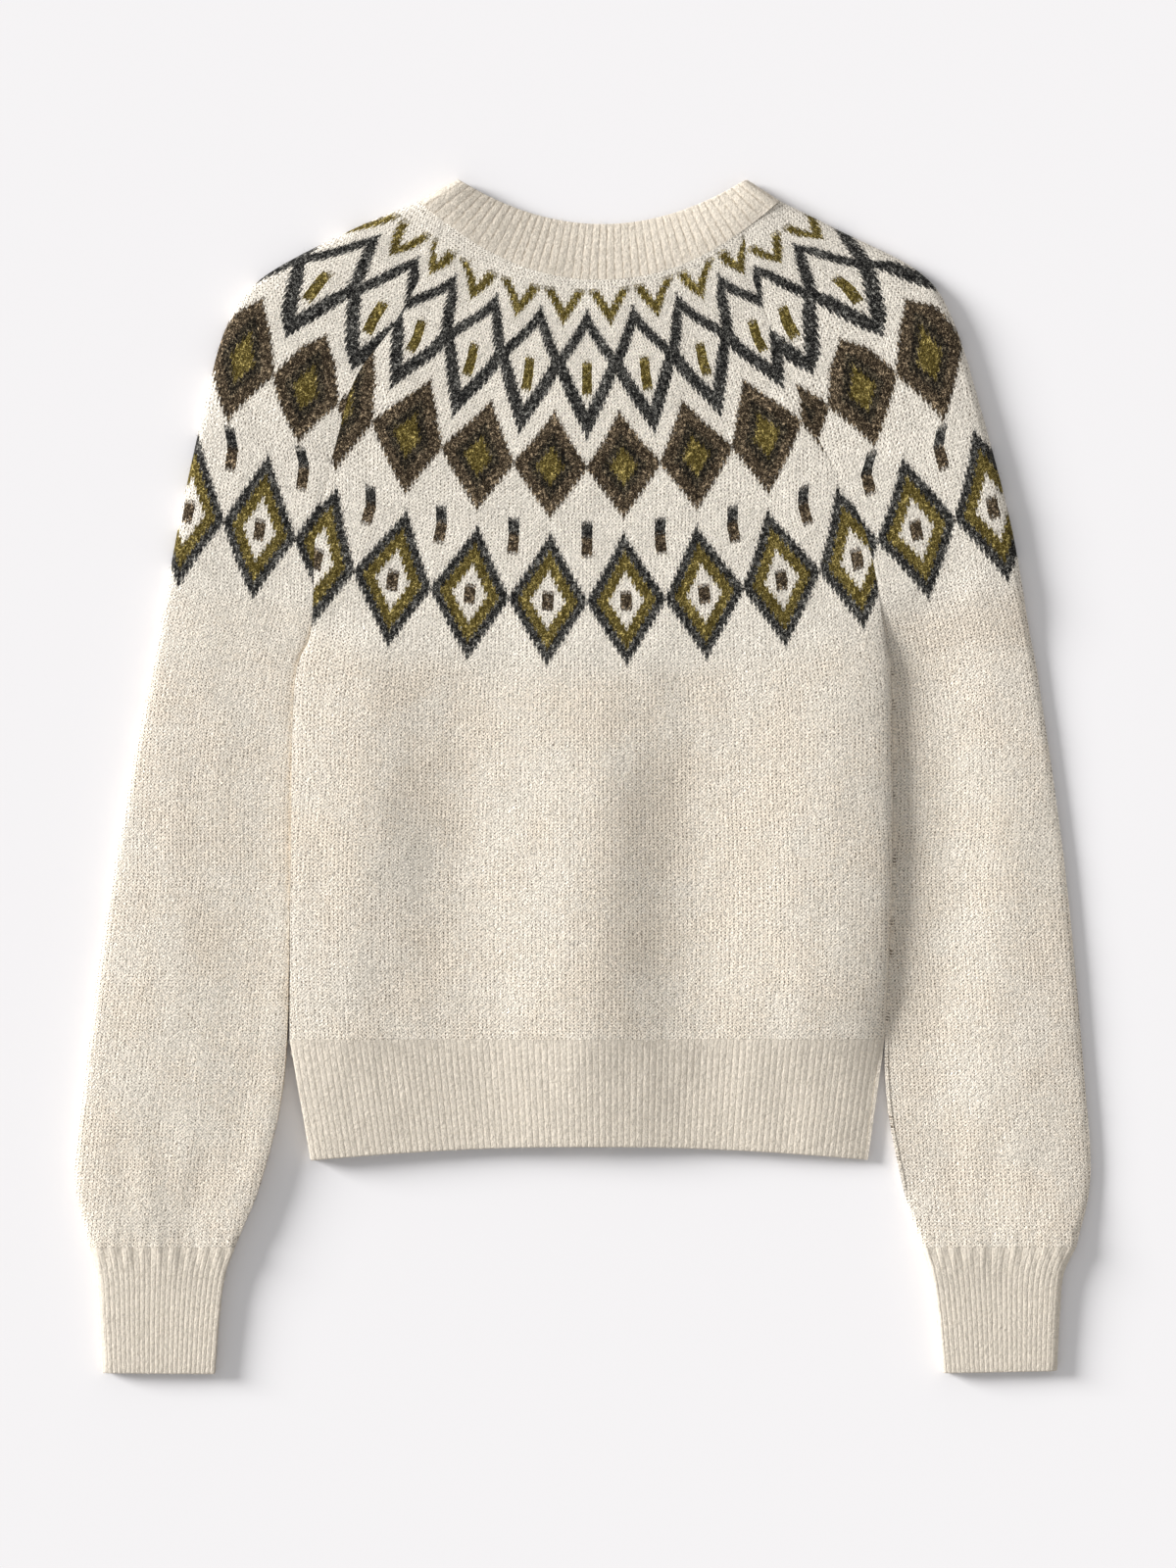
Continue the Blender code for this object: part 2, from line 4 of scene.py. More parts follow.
import bpy
import numpy as np
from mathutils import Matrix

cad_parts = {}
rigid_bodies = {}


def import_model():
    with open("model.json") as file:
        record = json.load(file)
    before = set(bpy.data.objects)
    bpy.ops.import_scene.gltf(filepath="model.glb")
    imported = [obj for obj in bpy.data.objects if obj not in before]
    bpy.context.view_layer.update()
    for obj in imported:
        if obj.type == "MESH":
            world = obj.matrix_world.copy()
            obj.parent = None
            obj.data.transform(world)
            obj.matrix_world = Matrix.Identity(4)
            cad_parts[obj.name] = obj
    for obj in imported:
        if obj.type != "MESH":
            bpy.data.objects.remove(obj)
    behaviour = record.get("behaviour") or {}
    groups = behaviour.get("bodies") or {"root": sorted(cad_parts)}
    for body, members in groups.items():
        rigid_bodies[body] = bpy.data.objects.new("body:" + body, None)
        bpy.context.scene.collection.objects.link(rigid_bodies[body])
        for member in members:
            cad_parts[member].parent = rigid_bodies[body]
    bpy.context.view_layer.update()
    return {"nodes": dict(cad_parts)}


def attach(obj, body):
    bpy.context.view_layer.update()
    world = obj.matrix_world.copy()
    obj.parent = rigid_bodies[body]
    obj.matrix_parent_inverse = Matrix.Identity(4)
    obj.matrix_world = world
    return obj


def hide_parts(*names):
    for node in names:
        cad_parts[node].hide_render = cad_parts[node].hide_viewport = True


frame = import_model()
mm = 0.001  # the sizes below are in millimetres, and meshes are in metres
print("frame loaded:", len(frame["nodes"]), "nodes")

# the garment's form, on the same sizes as its solids

garment = {
    "wall": 2.0,           # thickness of the brushed knit
    "bandWall": 2.5,
    "air": 0.06,           # left between two pieces that meet
    "endAir": 0.06,        # left between rows of two pieces that meet end to end
    "stack": 9.3,          # height of the upper layer's outer side
    "rollSteps": 6,        # steps in a rolled side seam or outer fold
    "sideReach": {"left": 0.25, "right": 2.4},     # width of the rolled side seams
    "shiftX": -0.04,       # from the tables' middle to the middle of the outline
    "shiftY": -0.10,
    "blend": 0.4,          # how softly the upper layer settles on the bands
}
garment["mid"] = garment["stack"] / 2

plackets = {
    "x": 3.4, "half": 14.0, "top": 311.6, "foot": -234.5,     # middle line, half width and ends
    "flat": 8.5, "rise": 2.3,      # the bands lie this much higher over the buttons, to this width
    "frontRun": 20.0, "ridgeFlat": 9.5, "ridgeRun": 16.5,     # how the layers climb over them
    "ribPitch": 4.0, "ribDepth": 0.22, "columns": 57, "rows": 90,
}

# curves of the neck in plan: y = tip - depth * (1 - (|x - centre| / half) ** power)
neck = {
    "backSeam": (10.9, 114.05, 364.5, 50.5, 2.1),
    "backEdge": (12.4, 91.4, 378.2, 28.0, 2.0),
    "frontSeam": (10.9, 114.05, 364.5, 90.0, 2.1),
    "frontEdge": (12.4, 91.4, 378.2, 66.6, 2.0),
    "frontLower": 24.0,           # how far the front's chart starts below the back's
    "chartTop": 314.0, "chartRun": 260.0,     # the back's start, and the way to where they meet
    "dropRows": 3,                # rows of the yoke over which the front's edge meets the back's
    "rows": 13, "width": 30.0, "bulge": 0.7, "sink": 5.5, "sinkRun": 39.0,
    "ribs": 40, "ribColumns": 8, "frontRibs": 22, "frontRibColumns": 6, "margin": 0.03,
}

# rows of a sleeve: seam x, seam y, outer fold x, outer fold y, roll of the seam
sleeves = {
    "left": [
        (-86.5, 349.4, -103.2, 364.5, 0), (-97.7, 323.9, -151.6, 343.8, 0),
        (-120.6, 283.7, -204.3, 314.7, 0), (-142.9, 252.7, -226.0, 283.7, 0),
        (-155.3, 212.4, -240.3, 231.0, 0), (-168.3, 156.6, -254.5, 165.9, 0),
        (-171.4, 93.3, -267.5, 95.8, 0), (-182.0, 57.4, -275.0, 57.4, 1),
        (-184.4, -60.0, -297.3, -60.0, 1), (-188.0, -183.2, -314.6, -183.2, 1),
        (-202.4, -252.7, -321.5, -252.7, 1), (-219.8, -297.3, -312.2, -297.3, 1),
    ],
    "right": [
        (101.4, 345.0, 124.9, 364.5, 0), (107.6, 314.6, 161.5, 346.3, 0),
        (118.1, 284.9, 213.0, 319.6, 0), (131.1, 255.8, 234.1, 289.9, 0),
        (148.0, 215.5, 252.7, 231.0, 0), (178.0, 156.6, 271.9, 156.6, 0),
        (191.9, 85.2, 283.0, 91.5, 0), (195.6, 57.4, 289.2, 57.4, 1),
        (196.2, -60.0, 305.7, -60.0, 1), (191.3, -183.2, 317.1, -183.2, 1),
        (201.2, -252.7, 321.5, -252.7, 1), (214.8, -297.3, 312.8, -297.3, 1),
    ],
    "yokeRows": 7, "sharedRows": 9, "leastSlant": 0.6,
    "rowSteps": 15, "columns": 34, "underColumns": 14,
}

# rows of the body and the ribs: left x, left y, right x, right y, roll
body = {
    "waist": (-185.1, -165.8, 191.3, -165.8, 1),
    "rowSteps": 18, "columns": 118, "frontColumns": 26, "frontSteps": 8,
}
hem = {
    "rows": [(-185.1, -165.86, 191.3, -165.86, 1), (-171.9, -242.7, 180.6, -242.7, 1)],
    "arch": 8.7, "depth": 76.4, "sink": 1.8,
    "flatten": 0.35,              # part of the body's waves that is gone at its lower edge
    "ribs": 90, "marginReach": 1.3, "rowSteps": 20, "ribColumns": 8,
    "frontRowSteps": 8, "frontRibColumns": 6,
}
cuffs = {
    "left": [(-219.8, -297.36, -312.2, -297.36, 1), (-226.0, -314.6, -307.8, -314.6, 1),
             (-229.7, -339.4, -306.0, -339.4, 1), (-232.8, -377.9, -304.1, -377.3, 1)],
    "right": [(214.8, -297.36, 312.8, -297.36, 1), (220.4, -314.6, 304.7, -314.6, 1),
              (224.1, -339.4, 302.2, -339.4, 1), (227.8, -377.3, 300.4, -376.0, 1)],
    "ribs": 22, "margin": 0.06, "rowSteps": 7, "ribColumns": 8,
    "sink": 1.6, "settle": (0.3, 34.0),       # keeps this part of the waves, past that length
}

# Height of the cloth's waves across the body at some heights in y: x and height of the left
# side, the first crest, the first trough, the middle crest, the second trough, the right swell
# and the right side.
waves = {
    "body": [
        (112, [(-174, 0.0), (-138, 0.0), (-84, 0.0), (6, 0.0), (66, 0.0), (138, 0.0), (190, 0.0)]),
        (34, [(-184, 0.3), (-138, 2.5), (-80, -2.1), (8, 2.6), (78, -1.9), (144, 1.2),
              (195, 1.0)]),
        (-23, [(-184, 0.8), (-140, 3.8), (-76, -3.0), (6, 4.5), (70, -4.0), (148, 2.2),
               (196, 1.6)]),
        (-122, [(-186, 0.5), (-148, 2.2), (-78, -2.2), (6, 5.0), (66, -4.4), (150, 2.2),
                (196, 0.6)]),
        (-200, [(-184, 0.2), (-150, 1.2), (-70, -1.4), (-2, 3.8), (90, -4.2), (118, -3.4),
                (192, -7.0)]),
        (-262, [(-172, 0.2), (-140, 0.8), (-74, -1.0), (2, 2.6), (94, -3.8), (120, -3.2),
                (182, -5.5)]),
    ],
    "left": [
        (110, [(-270, 0.0), (-246, 0.0), (-210, 0.0), (-180, 0.0)]),
        (20, [(-282, 0.1), (-250, 0.6), (-200, -0.4), (-184, 0.0)]),
        (-60, [(-290, 0.0), (-250, 0.9), (-200, -0.6), (-184, 0.0)]),
        (-180, [(-300, 0.0), (-262, 0.9), (-206, -0.7), (-190, 0.0)]),
        (-300, [(-306, 0.3), (-280, 0.7), (-236, -0.6), (-216, 0.0)]),
    ],
    "right": [
        (110, [(190, 0.0), (214, 0.0), (246, 0.0), (280, 0.0)]),
        (20, [(196, 0.0), (224, 0.0), (252, 0.4), (288, -0.2)]),
        (-60, [(196, 0.0), (236, 0.0), (262, 0.4), (298, -0.4)]),
        (-180, [(196, 0.0), (240, 0.2), (270, 0.7), (306, -0.2)]),
        (-300, [(212, 0.2), (240, 0.7), (268, -0.6), (304, -0.2)]),
    ],
}

# small soft creases: x0, y0, x1, y1, width, depth
creases = {
    "body": [(-156, 98, -112, 120, 15, 1.0), (176, 98, 136, 122, 14, 1.0),
             (-46, 262, -70, 176, 22, 0.5), (84, 244, 112, 168, 20, 0.5),
             (-30, -236, -24, -170, 16, 0.6), (128, -228, 120, -150, 15, 0.7)],
    "left": [(-196, 108, -224, 128, 13, 0.9), (-250, 40, -236, -34, 15, 0.5),
             (-268, -226, -256, -292, 10, 0.9), (-240, -250, -246, -296, 9, 0.8),
             (-292, -236, -284, -292, 9, 0.6)],
    "right": [(214, 104, 236, 130, 13, 0.9), (262, 24, 254, -70, 15, 0.5),
              (262, -232, 258, -292, 10, 0.9), (290, -240, 282, -294, 9, 0.7),
              (236, -252, 240, -294, 8, 0.6)],
    "fade": 26.0,                 # length over which an end runs out
    "waver": (0.1, 11.0),         # how far it wanders, in widths, and over what length
}


def ease(t):
    return 0.5 + 0.5 * np.cos(np.pi * np.clip(t, 0.0, 1.0))


def neckY(curve, x):
    centre, half, tip, depth, power = neck[curve]
    return tip - depth * (1 - (np.abs(x - centre) / half) ** power)


def refine(rows, steps):
    # smooth rows between the rows of a table; the last column changes evenly
    rows = np.array(rows, dtype=float)
    padded = np.vstack([2 * rows[0] - rows[1], rows, 2 * rows[-1] - rows[-2]])
    fine = []
    for i in range(len(rows) - 1):
        a, b, c, d = padded[i:i + 4]
        for t in np.arange(steps) / steps:
            bend = (2 * a - 5 * b + 4 * c - d) * t ** 2 + (3 * b - a - 3 * c + d) * t ** 3
            row = 0.5 * (2 * b + (c - a) * t + bend)
            row[-1] = b[-1] + (c[-1] - b[-1]) * t
            fine.append(row)
    fine.append(rows[-1])
    return np.array(fine)


def rise(t):
    t = np.clip(t, 0.0, 1.0)
    return t * t * (3 - 2 * t)


def waveHeight(x, y, panel):
    table = waves[panel]
    height = np.zeros_like(x)
    for (topY, top), (footY, foot) in zip(table, table[1:]):
        part = rise((topY - y) / (topY - footY))
        knots = [[a * (1 - part) + b * part for a, b in zip(*pair)] for pair in zip(top, foot)]
        here = knots[0][1] + np.zeros_like(x)
        for (x0, z0), (x1, z1) in zip(knots, knots[1:]):
            here = here + (z1 - z0) * rise((x - x0) / (x1 - x0))
        height = np.where((y <= topY) & ((y > footY) | (footY == table[-1][0])), here, height)
    return height


def creaseDepth(x, y, panel):
    total = np.zeros_like(x)
    waver, length = creases["waver"]
    for x0, y0, x1, y1, width, depth in creases[panel]:
        runX, runY = x1 - x0, y1 - y0
        reach = math.hypot(runX, runY)
        along = ((x - x0) * runX + (y - y0) * runY) / reach
        across = ((x - x0) * -runY + (y - y0) * runX) / reach
        across = across + waver * width * np.sin(along / length + x0)
        pastEnd = np.maximum(0.0, np.maximum(-along, along - reach))
        total += depth * np.exp(-(across / width) ** 2) * ease(pastEnd / creases["fade"])
    return total


def underHeight(x, y):
    # the lower layer's outer side climbs to the upper band on the left
    away = plackets["x"] - plackets["half"] - x
    climb = (garment["bandWall"] + garment["air"]) * ease(away / plackets["frontRun"])
    return np.where(away < -plackets["half"], 0.0, climb)


def upperHeight(x, y, lift=0.0):
    # the upper layer lies on the lower one, and over the button bands in the middle
    wall, bandWall, air = garment["wall"], garment["bandWall"], garment["air"]
    layers = underHeight(x, y) + 2 * (wall + air)
    bands = plackets["rise"] + 2 * (bandWall + air) + wall + air
    over = ease((np.abs(x - plackets["x"]) - plackets["ridgeFlat"]) / plackets["ridgeRun"])
    lowest = layers + (bands - layers) * over
    spare = garment["stack"] + lift - lowest
    return lowest + 0.5 * (spare + np.sqrt(spare ** 2 + garment["blend"]))


def rowPlan(start, end, curve=None, weight=0.0):
    # a row in plan from start to end, bent like a neck curve by weight
    start, end = np.array(start, dtype=float), np.array(end, dtype=float)

    def plan(u):
        u = np.asarray(u, dtype=float)
        points = start + (end - start) * u[..., None]
        if weight:
            chord = neckY(curve, start[0]) * (1 - u) + neckY(curve, end[0]) * u
            points[..., 1] += weight * (neckY(curve, points[..., 0]) - chord)
        return points

    return plan


def edgeOf(roll, steps, reach, outward, air=0.0):
    # how a strip ends: rolled over or not, in how many steps, how far, and which way is out
    return {"roll": roll, "steps": steps, "reach": reach, "outward": outward, "air": air}


def sideEdge(roll, outwardX, onLeft):
    reach = garment["sideReach"]["left" if onLeft else "right"]
    return edgeOf(roll, garment["rollSteps"], reach, (outwardX, 0.0), garment["air"])


def sideEdges(roll):
    return sideEdge(roll, -1.0, True), sideEdge(roll, 1.0, False)


def placketEdge(outwardX):
    return edgeOf(0, 1, garment["air"], (outwardX, 0.0))


def foldEdge(reach, outward):
    return edgeOf(1, garment["rollSteps"], reach, outward)


def frontEdges(roll, side):
    edges = sideEdge(roll, side, side < 0), placketEdge(-side)
    return edges if side < 0 else edges[::-1]


def placketX(side):
    # where a front meets the bands
    return plackets["x"] + side * (plackets["half"] + garment["air"])


def frontSpan(side, leftX, rightX):
    # least x and width of a front, from its side seam to the bands
    seamX = leftX if side < 0 else rightX
    return min(seamX, placketX(side)), abs(seamX - placketX(side))


def strip(plan, side, first, last, middle, height, relief=None):
    # one section of a wall from edge to edge: outer points, inner points and plan fractions;
    # side is +1 for the upper layer and -1 for the lower one, and relief raises only the
    # outer side
    length = np.hypot(*(plan(1.0) - plan(0.0)))
    edges = []
    for edge, atEnd in ((first, False), (last, True)):
        angle = np.pi / 2 * np.arange(edge["steps"] + 1) / edge["steps"]
        angle = angle if atEnd else angle[::-1]
        reach = edge["reach"] * (1 - np.sin(angle)) / length
        edges.append((1 - reach if atEnd else reach, angle))
    low, high = edges[0][0][-1], edges[1][0][0]
    inside = low + (high - low) * np.arange(1, middle + 1) / (middle + 1)
    u = np.concatenate([edges[0][0], inside, edges[1][0]])
    angle = np.concatenate([edges[0][1], np.zeros(len(inside)), edges[1][1]])
    onLast = np.arange(len(u)) >= len(u) - len(edges[1][0])
    roll, air = (np.where(onLast, last[key], first[key]).astype(float) for key in ("roll", "air"))
    outward = np.where(onLast[:, None], np.array(last["outward"]), np.array(first["outward"]))
    spot = plan(u) - outward * (air * np.sin(angle))[:, None]
    flat = height(spot[:, 0], spot[:, 1])
    mid = garment["mid"]
    rolled = mid + (flat - mid) * np.cos(angle) + side * garment["air"] / 2 * np.sin(angle)
    lean = roll * angle
    normal = np.column_stack([outward * np.sin(lean)[:, None], side * np.cos(lean)])
    point = np.column_stack([spot, flat + roll * (rolled - flat)])
    raised = relief(u, spot[:, 0], spot[:, 1], np.cos(angle)) if relief else np.zeros(len(u))
    return point + normal * raised[:, None], point - normal * garment["wall"], u


def roundEnd(outer, inner, across):
    # the free end of a wall turns over in a half circle
    middle = (outer[-1] + inner[-1]) / 2
    half = (outer[-1] - inner[-1]) / 2
    away = middle - (outer[-2] + inner[-2]) / 2
    away /= np.linalg.norm(away, axis=1)[:, None]
    grids = []
    for grid, sign in ((outer, 1.0), (inner, -1.0)):
        turned = []
        for angle in np.radians((0, 30, 55, 78)):
            over = away * garment["wall"] / 2 * (math.sin(angle) - 1)
            turned.append(middle + sign * half * math.cos(angle) + over)
        grids.append(np.concatenate([grid[:-1], np.array(turned)]))
    return (*grids, np.concatenate([across, across[[-1, -1, -1]]]))


def wallObject(name, strips, place, rounded=False):
    # closed wall between two grids of points, with the knit's own coordinates as its UV map
    outer, inner, across = (np.array([part[layer] for part in strips]) for layer in range(3))
    if rounded:
        outer, inner, across = roundEnd(outer, inner, across)
    rows, columns = outer.shape[:2]
    count = rows * columns
    index = np.arange(count).reshape(rows, columns)

    def quads(a, b, c, d):
        return np.stack([a.ravel(), b.ravel(), c.ravel(), d.ravel()], axis=1)

    top = quads(index[:-1, :-1], index[:-1, 1:], index[1:, 1:], index[1:, :-1])
    faces = [
        top,
        top[:, ::-1] + count,
        quads(index[0, 1:], index[0, :-1], index[0, :-1] + count, index[0, 1:] + count),
        quads(index[-1, :-1], index[-1, 1:], index[-1, 1:] + count, index[-1, :-1] + count),
        quads(index[:-1, 0], index[1:, 0], index[1:, 0] + count, index[:-1, 0] + count),
        quads(index[1:, -1], index[:-1, -1], index[:-1, -1] + count, index[1:, -1] + count),
    ]
    faces = np.concatenate(faces)
    points = np.concatenate([outer.reshape(-1, 3), inner.reshape(-1, 3)])
    i, j = rows // 2, columns // 2
    normal = np.cross(outer[i, j + 1] - outer[i, j], outer[i + 1, j] - outer[i, j])
    if normal @ (outer[i, j] - inner[i, j]) < 0:
        faces = faces[:, ::-1]
    points[:, 0] += garment["shiftX"]
    points[:, 1] += garment["shiftY"]
    mesh = bpy.data.meshes.new(name)
    mesh.from_pydata((points * mm).tolist(), [], faces.tolist())
    mesh.shade_smooth()
    mesh.set_sharp_from_angle(angle=math.radians(60))
    along = np.linalg.norm(np.diff(outer, axis=0), axis=2).mean(axis=1)
    along = np.concatenate([[0.0], np.cumsum(along)])[:, None] + np.zeros((rows, columns))
    fields = (outer[..., 0], outer[..., 1], across, along)
    knit = np.tile(np.column_stack(place(*(field.ravel() for field in fields))), (2, 1))
    corner = np.zeros(len(mesh.loops), dtype=np.int32)
    mesh.loops.foreach_get("vertex_index", corner)
    layer = mesh.uv_layers.new(name="knit")
    layer.data.foreach_set("uv", knit[corner].astype(np.float32).ravel())
    made = bpy.data.objects.new(name, mesh)
    bpy.context.scene.collection.objects.link(made)
    return made


# where each place of the yoke lies on its chart

# Rows of the chart in plan. Each row is an arc: depth below the neck seam, a point of the row
# (x, y), the row's slant there in degrees, its radius, and the width of one repeat. The point
# lies at the panel's own repeat number.
chartRows = {
    "body": {"repeat": 0, "rows": [
        (0, 2.8, 314.0, 0, 155, 26.2), (7, 2.8, 306.6, 0, 162, 28.5),
        (16, 2.8, 297.9, 0, 162, 28.5), (33, 2.8, 280.6, 0, 170, 31.0),
        (53, 2.8, 260.7, 0, 223, 36.3), (63, 2.8, 250.8, 0, 232, 37.2),
        (86, 2.8, 228.5, 0, 248, 40.9), (102, 2.8, 211.7, 0, 257, 43.4),
        (119, 2.8, 195.0, 0, 329, 46.5), (150, 2.8, 164.0, 0, 422, 46.5),
        (164, 2.8, 149.7, 0, 446, 46.2), (203, 2.8, 110.7, 0, 558, 49.6),
        (242, 2.8, 71.6, 0, 651, 50.5), (320, 2.8, -6.4, 0, 1500, 52.0),
        (480, 2.8, -166.4, 0, 6000, 52.4), (560, 2.8, -246.4, 0, 9000, 52.4)]},
    "left": {"repeat": -5, "rows": [
        (0, -105.1, 359.3, -33, 2000, 20.5), (7, -115.6, 352.5, -32, 2000, 23.9),
        (16, -125.5, 344.4, -30.6, 2000, 27.7), (33, -138.6, 333.9, -28.0, 900, 31.9),
        (53, -162.1, 317.1, -29.5, 700, 40.5), (63, -167.4, 310.3, -31.0, 700, 41.3),
        (86, -182.9, 288.9, -30.0, 700, 46.4), (102, -187.6, 276.2, -28.0, 700, 46.3),
        (119, -195.0, 253.3, -25.8, 900, 44.1), (150, -201.8, 218.6, -16.3, 1500, 46.5),
        (162, -198.3, 201.8, -15.4, 1500, 46.7), (203, -203.9, 155.9, -13.9, 1500, 46.4),
        (242, -208.0, 114.0, -9.0, 2500, 47.7), (420, -228.0, -62.0, 0, 4000, 50.0),
        (655, -256.0, -297.3, 0, 9000, 50.0), (735, -262.0, -377.3, 0, 9000, 50.0)]},
    "right": {"repeat": 5, "rows": [
        (0, 120.0, 351.2, 31.2, 2000, 23.9), (7, 125.5, 345.0, 31.0, 2000, 25.8),
        (16, 131.1, 338.2, 30.5, 2000, 27.5), (33, 141.4, 330.1, 29.0, 900, 31.6),
        (53, 161.5, 313.7, 29.5, 700, 39.4), (63, 167.4, 308.8, 30.5, 700, 43.9),
        (86, 184.4, 287.4, 31.5, 700, 48.5), (102, 190.0, 277.4, 30.5, 700, 50.4),
        (119, 198.1, 253.9, 26.6, 900, 47.1), (150, 206.2, 217.9, 20.6, 1500, 46.7),
        (162, 201.8, 199.9, 20.3, 1500, 48.6), (203, 210.5, 155.9, 15.6, 1500, 50.7),
        (242, 218.6, 113.8, 11.9, 2500, 51.0), (420, 231.0, -62.0, 0, 4000, 51.0),
        (655, 248.0, -297.3, 0, 9000, 50.0), (735, 254.0, -377.3, 0, 9000, 50.0)]},
}


def chartPlace(x, y, panel):
    # repeat number and depth on the chart for points in plan
    table = chartRows[panel]
    below, number = [], []
    for _, baseX, baseY, slant, radius, width in table["rows"]:
        cos, sin = math.cos(math.radians(slant)), math.sin(math.radians(slant))
        awayX, awayY = x - (baseX - sin * radius), y - (baseY + cos * radius)
        below.append(np.hypot(awayX, awayY) - radius)
        turn = np.arctan2(awayX * cos + awayY * sin, awayX * sin - awayY * cos)
        number.append(table["repeat"] + turn * radius / width)
    below, number = np.array(below), np.array(number)
    depth = np.array([row[0] for row in table["rows"]], dtype=float)
    slot = np.clip((below >= 0).sum(axis=0) - 1, 0, len(depth) - 2)
    pick = np.arange(x.size)
    upper, lower = below[slot, pick], below[slot + 1, pick]
    part = upper / np.maximum(upper - lower, 1e-6)
    repeats = number[slot, pick] * (1 - part) + number[slot + 1, pick] * part
    return repeats, depth[slot] * (1 - part) + depth[slot + 1] * part


def yokePlace(panel, drop=0.0):
    # drop is how far a front's neck lies below the back's
    def place(x, y, across, along):
        lift = drop * ease((neck["chartTop"] - drop - y) / neck["chartRun"])
        repeats, depth = chartPlace(x, y + lift, panel)
        return repeats + 10.0, depth      # whole repeats more, so that none is below 0

    return place


# relief of the cloth that shows

relief = {
    "crown": 2.6,             # how much fuller the garment lies than its solid
    "bodyFull": 2.4,          # and how much more of it the body has below the sleeves
    "sideWeight": (66.0, 122.0),          # the side seams start between these heights in y
    # how far the cloth rounds off towards an edge, and over what width
    "bodyLeft": (1.2, 14.0), "bodyRight": (6.0, 38.0),
    "leftInner": (1.2, 10.0), "leftOuter": (3.8, 30.0),
    "rightOuter": (3.2, 32.0),
    "rightLow": 4.0,                       # the right sleeve lies lower than the body
    "rightValley": (4.6, 18.0, 56.0),      # and lowest beside it: depth, its floor's width, run
    "rightFoot": (-250.0, 60.0),           # both end there in y, over that length
    "seamDip": 0.30, "seamReach": 4.0,     # valley along the raglan seams
    "rib": 0.15, "ribRun": 9.0,            # height of a rib, and the rows over which it starts
    "puffs": [                # waves of the cloth: wavelength x, wavelength y, slant, phase, height
        (71.0, 143.0, 0.15, 0.4, 0.22), (47.0, 61.0, -0.5, 2.1, 0.16),
        (27.0, 40.0, 0.35, 4.0, 0.10), (15.0, 19.0, 0.8, 1.2, 0.05),
    ],
    "gathers": {"y": -297.0, "run": 26.0, "height": 0.30, "pitch": 9.0,       # above the cuffs
                "waver": 1.1, "waverPitch": 17.0},
}


def puffs(x, y):
    total = np.zeros_like(x)
    for waveX, waveY, slant, phase, height in relief["puffs"]:
        a = 2 * np.pi * (x / waveX + slant * y / waveY) + phase
        b = 2 * np.pi * (y / waveY - slant * x / waveX) + 1.7 * phase
        total += height * np.sin(a + 0.8 * np.sin(b)) * np.cos(b * 0.7 + 0.4)
    return total


def sideWeight(y):
    start, end = relief["sideWeight"]
    return ease((y - start) / (end - start))


def roundOff(distance, key):
    sink, reach = relief[key]
    return sink * (1 - np.sqrt(1 - np.clip(1 - distance / reach, 0.0, 1.0) ** 2))


def bodyLift(x, y, leftX, rightX):
    weight = sideWeight(y)
    lift = relief["crown"] + puffs(x, y) + waveHeight(x, y, "body") - creaseDepth(x, y, "body")
    lift = lift + relief["bodyFull"] * weight
    return lift - weight * (roundOff(x - leftX, "bodyLeft") + roundOff(rightX - x, "bodyRight"))


def sleeveLift(x, y, side, seamX, foldX):
    weight = sideWeight(y)
    lift = relief["crown"] + puffs(x, y) + waveHeight(x, y, side) - creaseDepth(x, y, side)
    lift = lift - roundOff(np.abs(foldX - x), side + "Outer")
    if side == "left":
        lift = lift - weight * roundOff(np.abs(x - seamX), "leftInner")
    else:
        sink, floorWidth, run = relief["rightValley"]
        foot, footRun = relief["rightFoot"]
        sunk = relief["rightLow"] + sink * ease((np.abs(x - seamX) - floorWidth) / run)
        lift = lift - weight * sunk * ease((foot - y) / footRun)
    gathers = relief["gathers"]
    near = ease(np.abs(y - gathers["y"]) / gathers["run"])
    waver = gathers["waver"] * np.sin(x / gathers["waverPitch"])
    return lift + gathers["height"] * near * np.sin(2 * np.pi * x / gathers["pitch"] + waver)


# the knitted pieces

def bodyRows(steps):
    pairs = zip(sleeves["left"][:sleeves["sharedRows"]], sleeves["right"][:sleeves["sharedRows"]])
    table = [(left[0], left[1], right[0], right[1], left[4]) for left, right in pairs]
    return refine(table + [body["waist"]], steps)


def frontDrop(index, steps, neckX):
    fade = ease(index / (neck["dropRows"] * steps))
    return fade * (neckY("backSeam", neckX) - neckY("frontSeam", neckX))


def seamEnds(index, row, curve, steps):
    ends = []
    for name, x, y in (("left", row[0], row[1]), ("right", row[2], row[3])):
        if index == 0:
            y = neckY(curve, x) - garment["endAir"]
        elif curve == "frontSeam":
            y -= frontDrop(index, steps, sleeves[name][0][0])
        ends.append((x, y))
    return ends


def bendWeight(index, steps, rowsBent):
    return max(0.0, 1 - index / (rowsBent * steps))


def bodyPlan(index, row, curve, steps):
    start, end = seamEnds(index, row, curve, steps)
    return start, end, rowPlan(start, end, curve, bendWeight(index, steps, sleeves["yokeRows"] - 1))


def makeBack():
    strips = []
    steps = body["rowSteps"]
    rows = bodyRows(steps)
    for index, row in enumerate(rows):
        start, end, plan = bodyPlan(index, row, "backSeam", steps)

        def height(x, y, start=start, end=end, raglan=1 - row[4]):
            edge = np.minimum(x - start[0], end[0] - x)
            seam = raglan * relief["seamDip"] * ease(edge / relief["seamReach"])
            return upperHeight(x, y, bodyLift(x, y, start[0], end[0]) - seam)

        strips.append(strip(plan, 1, *sideEdges(row[4]), body["columns"], height))
    return wallObject("backCloth", strips, yokePlace("body"))


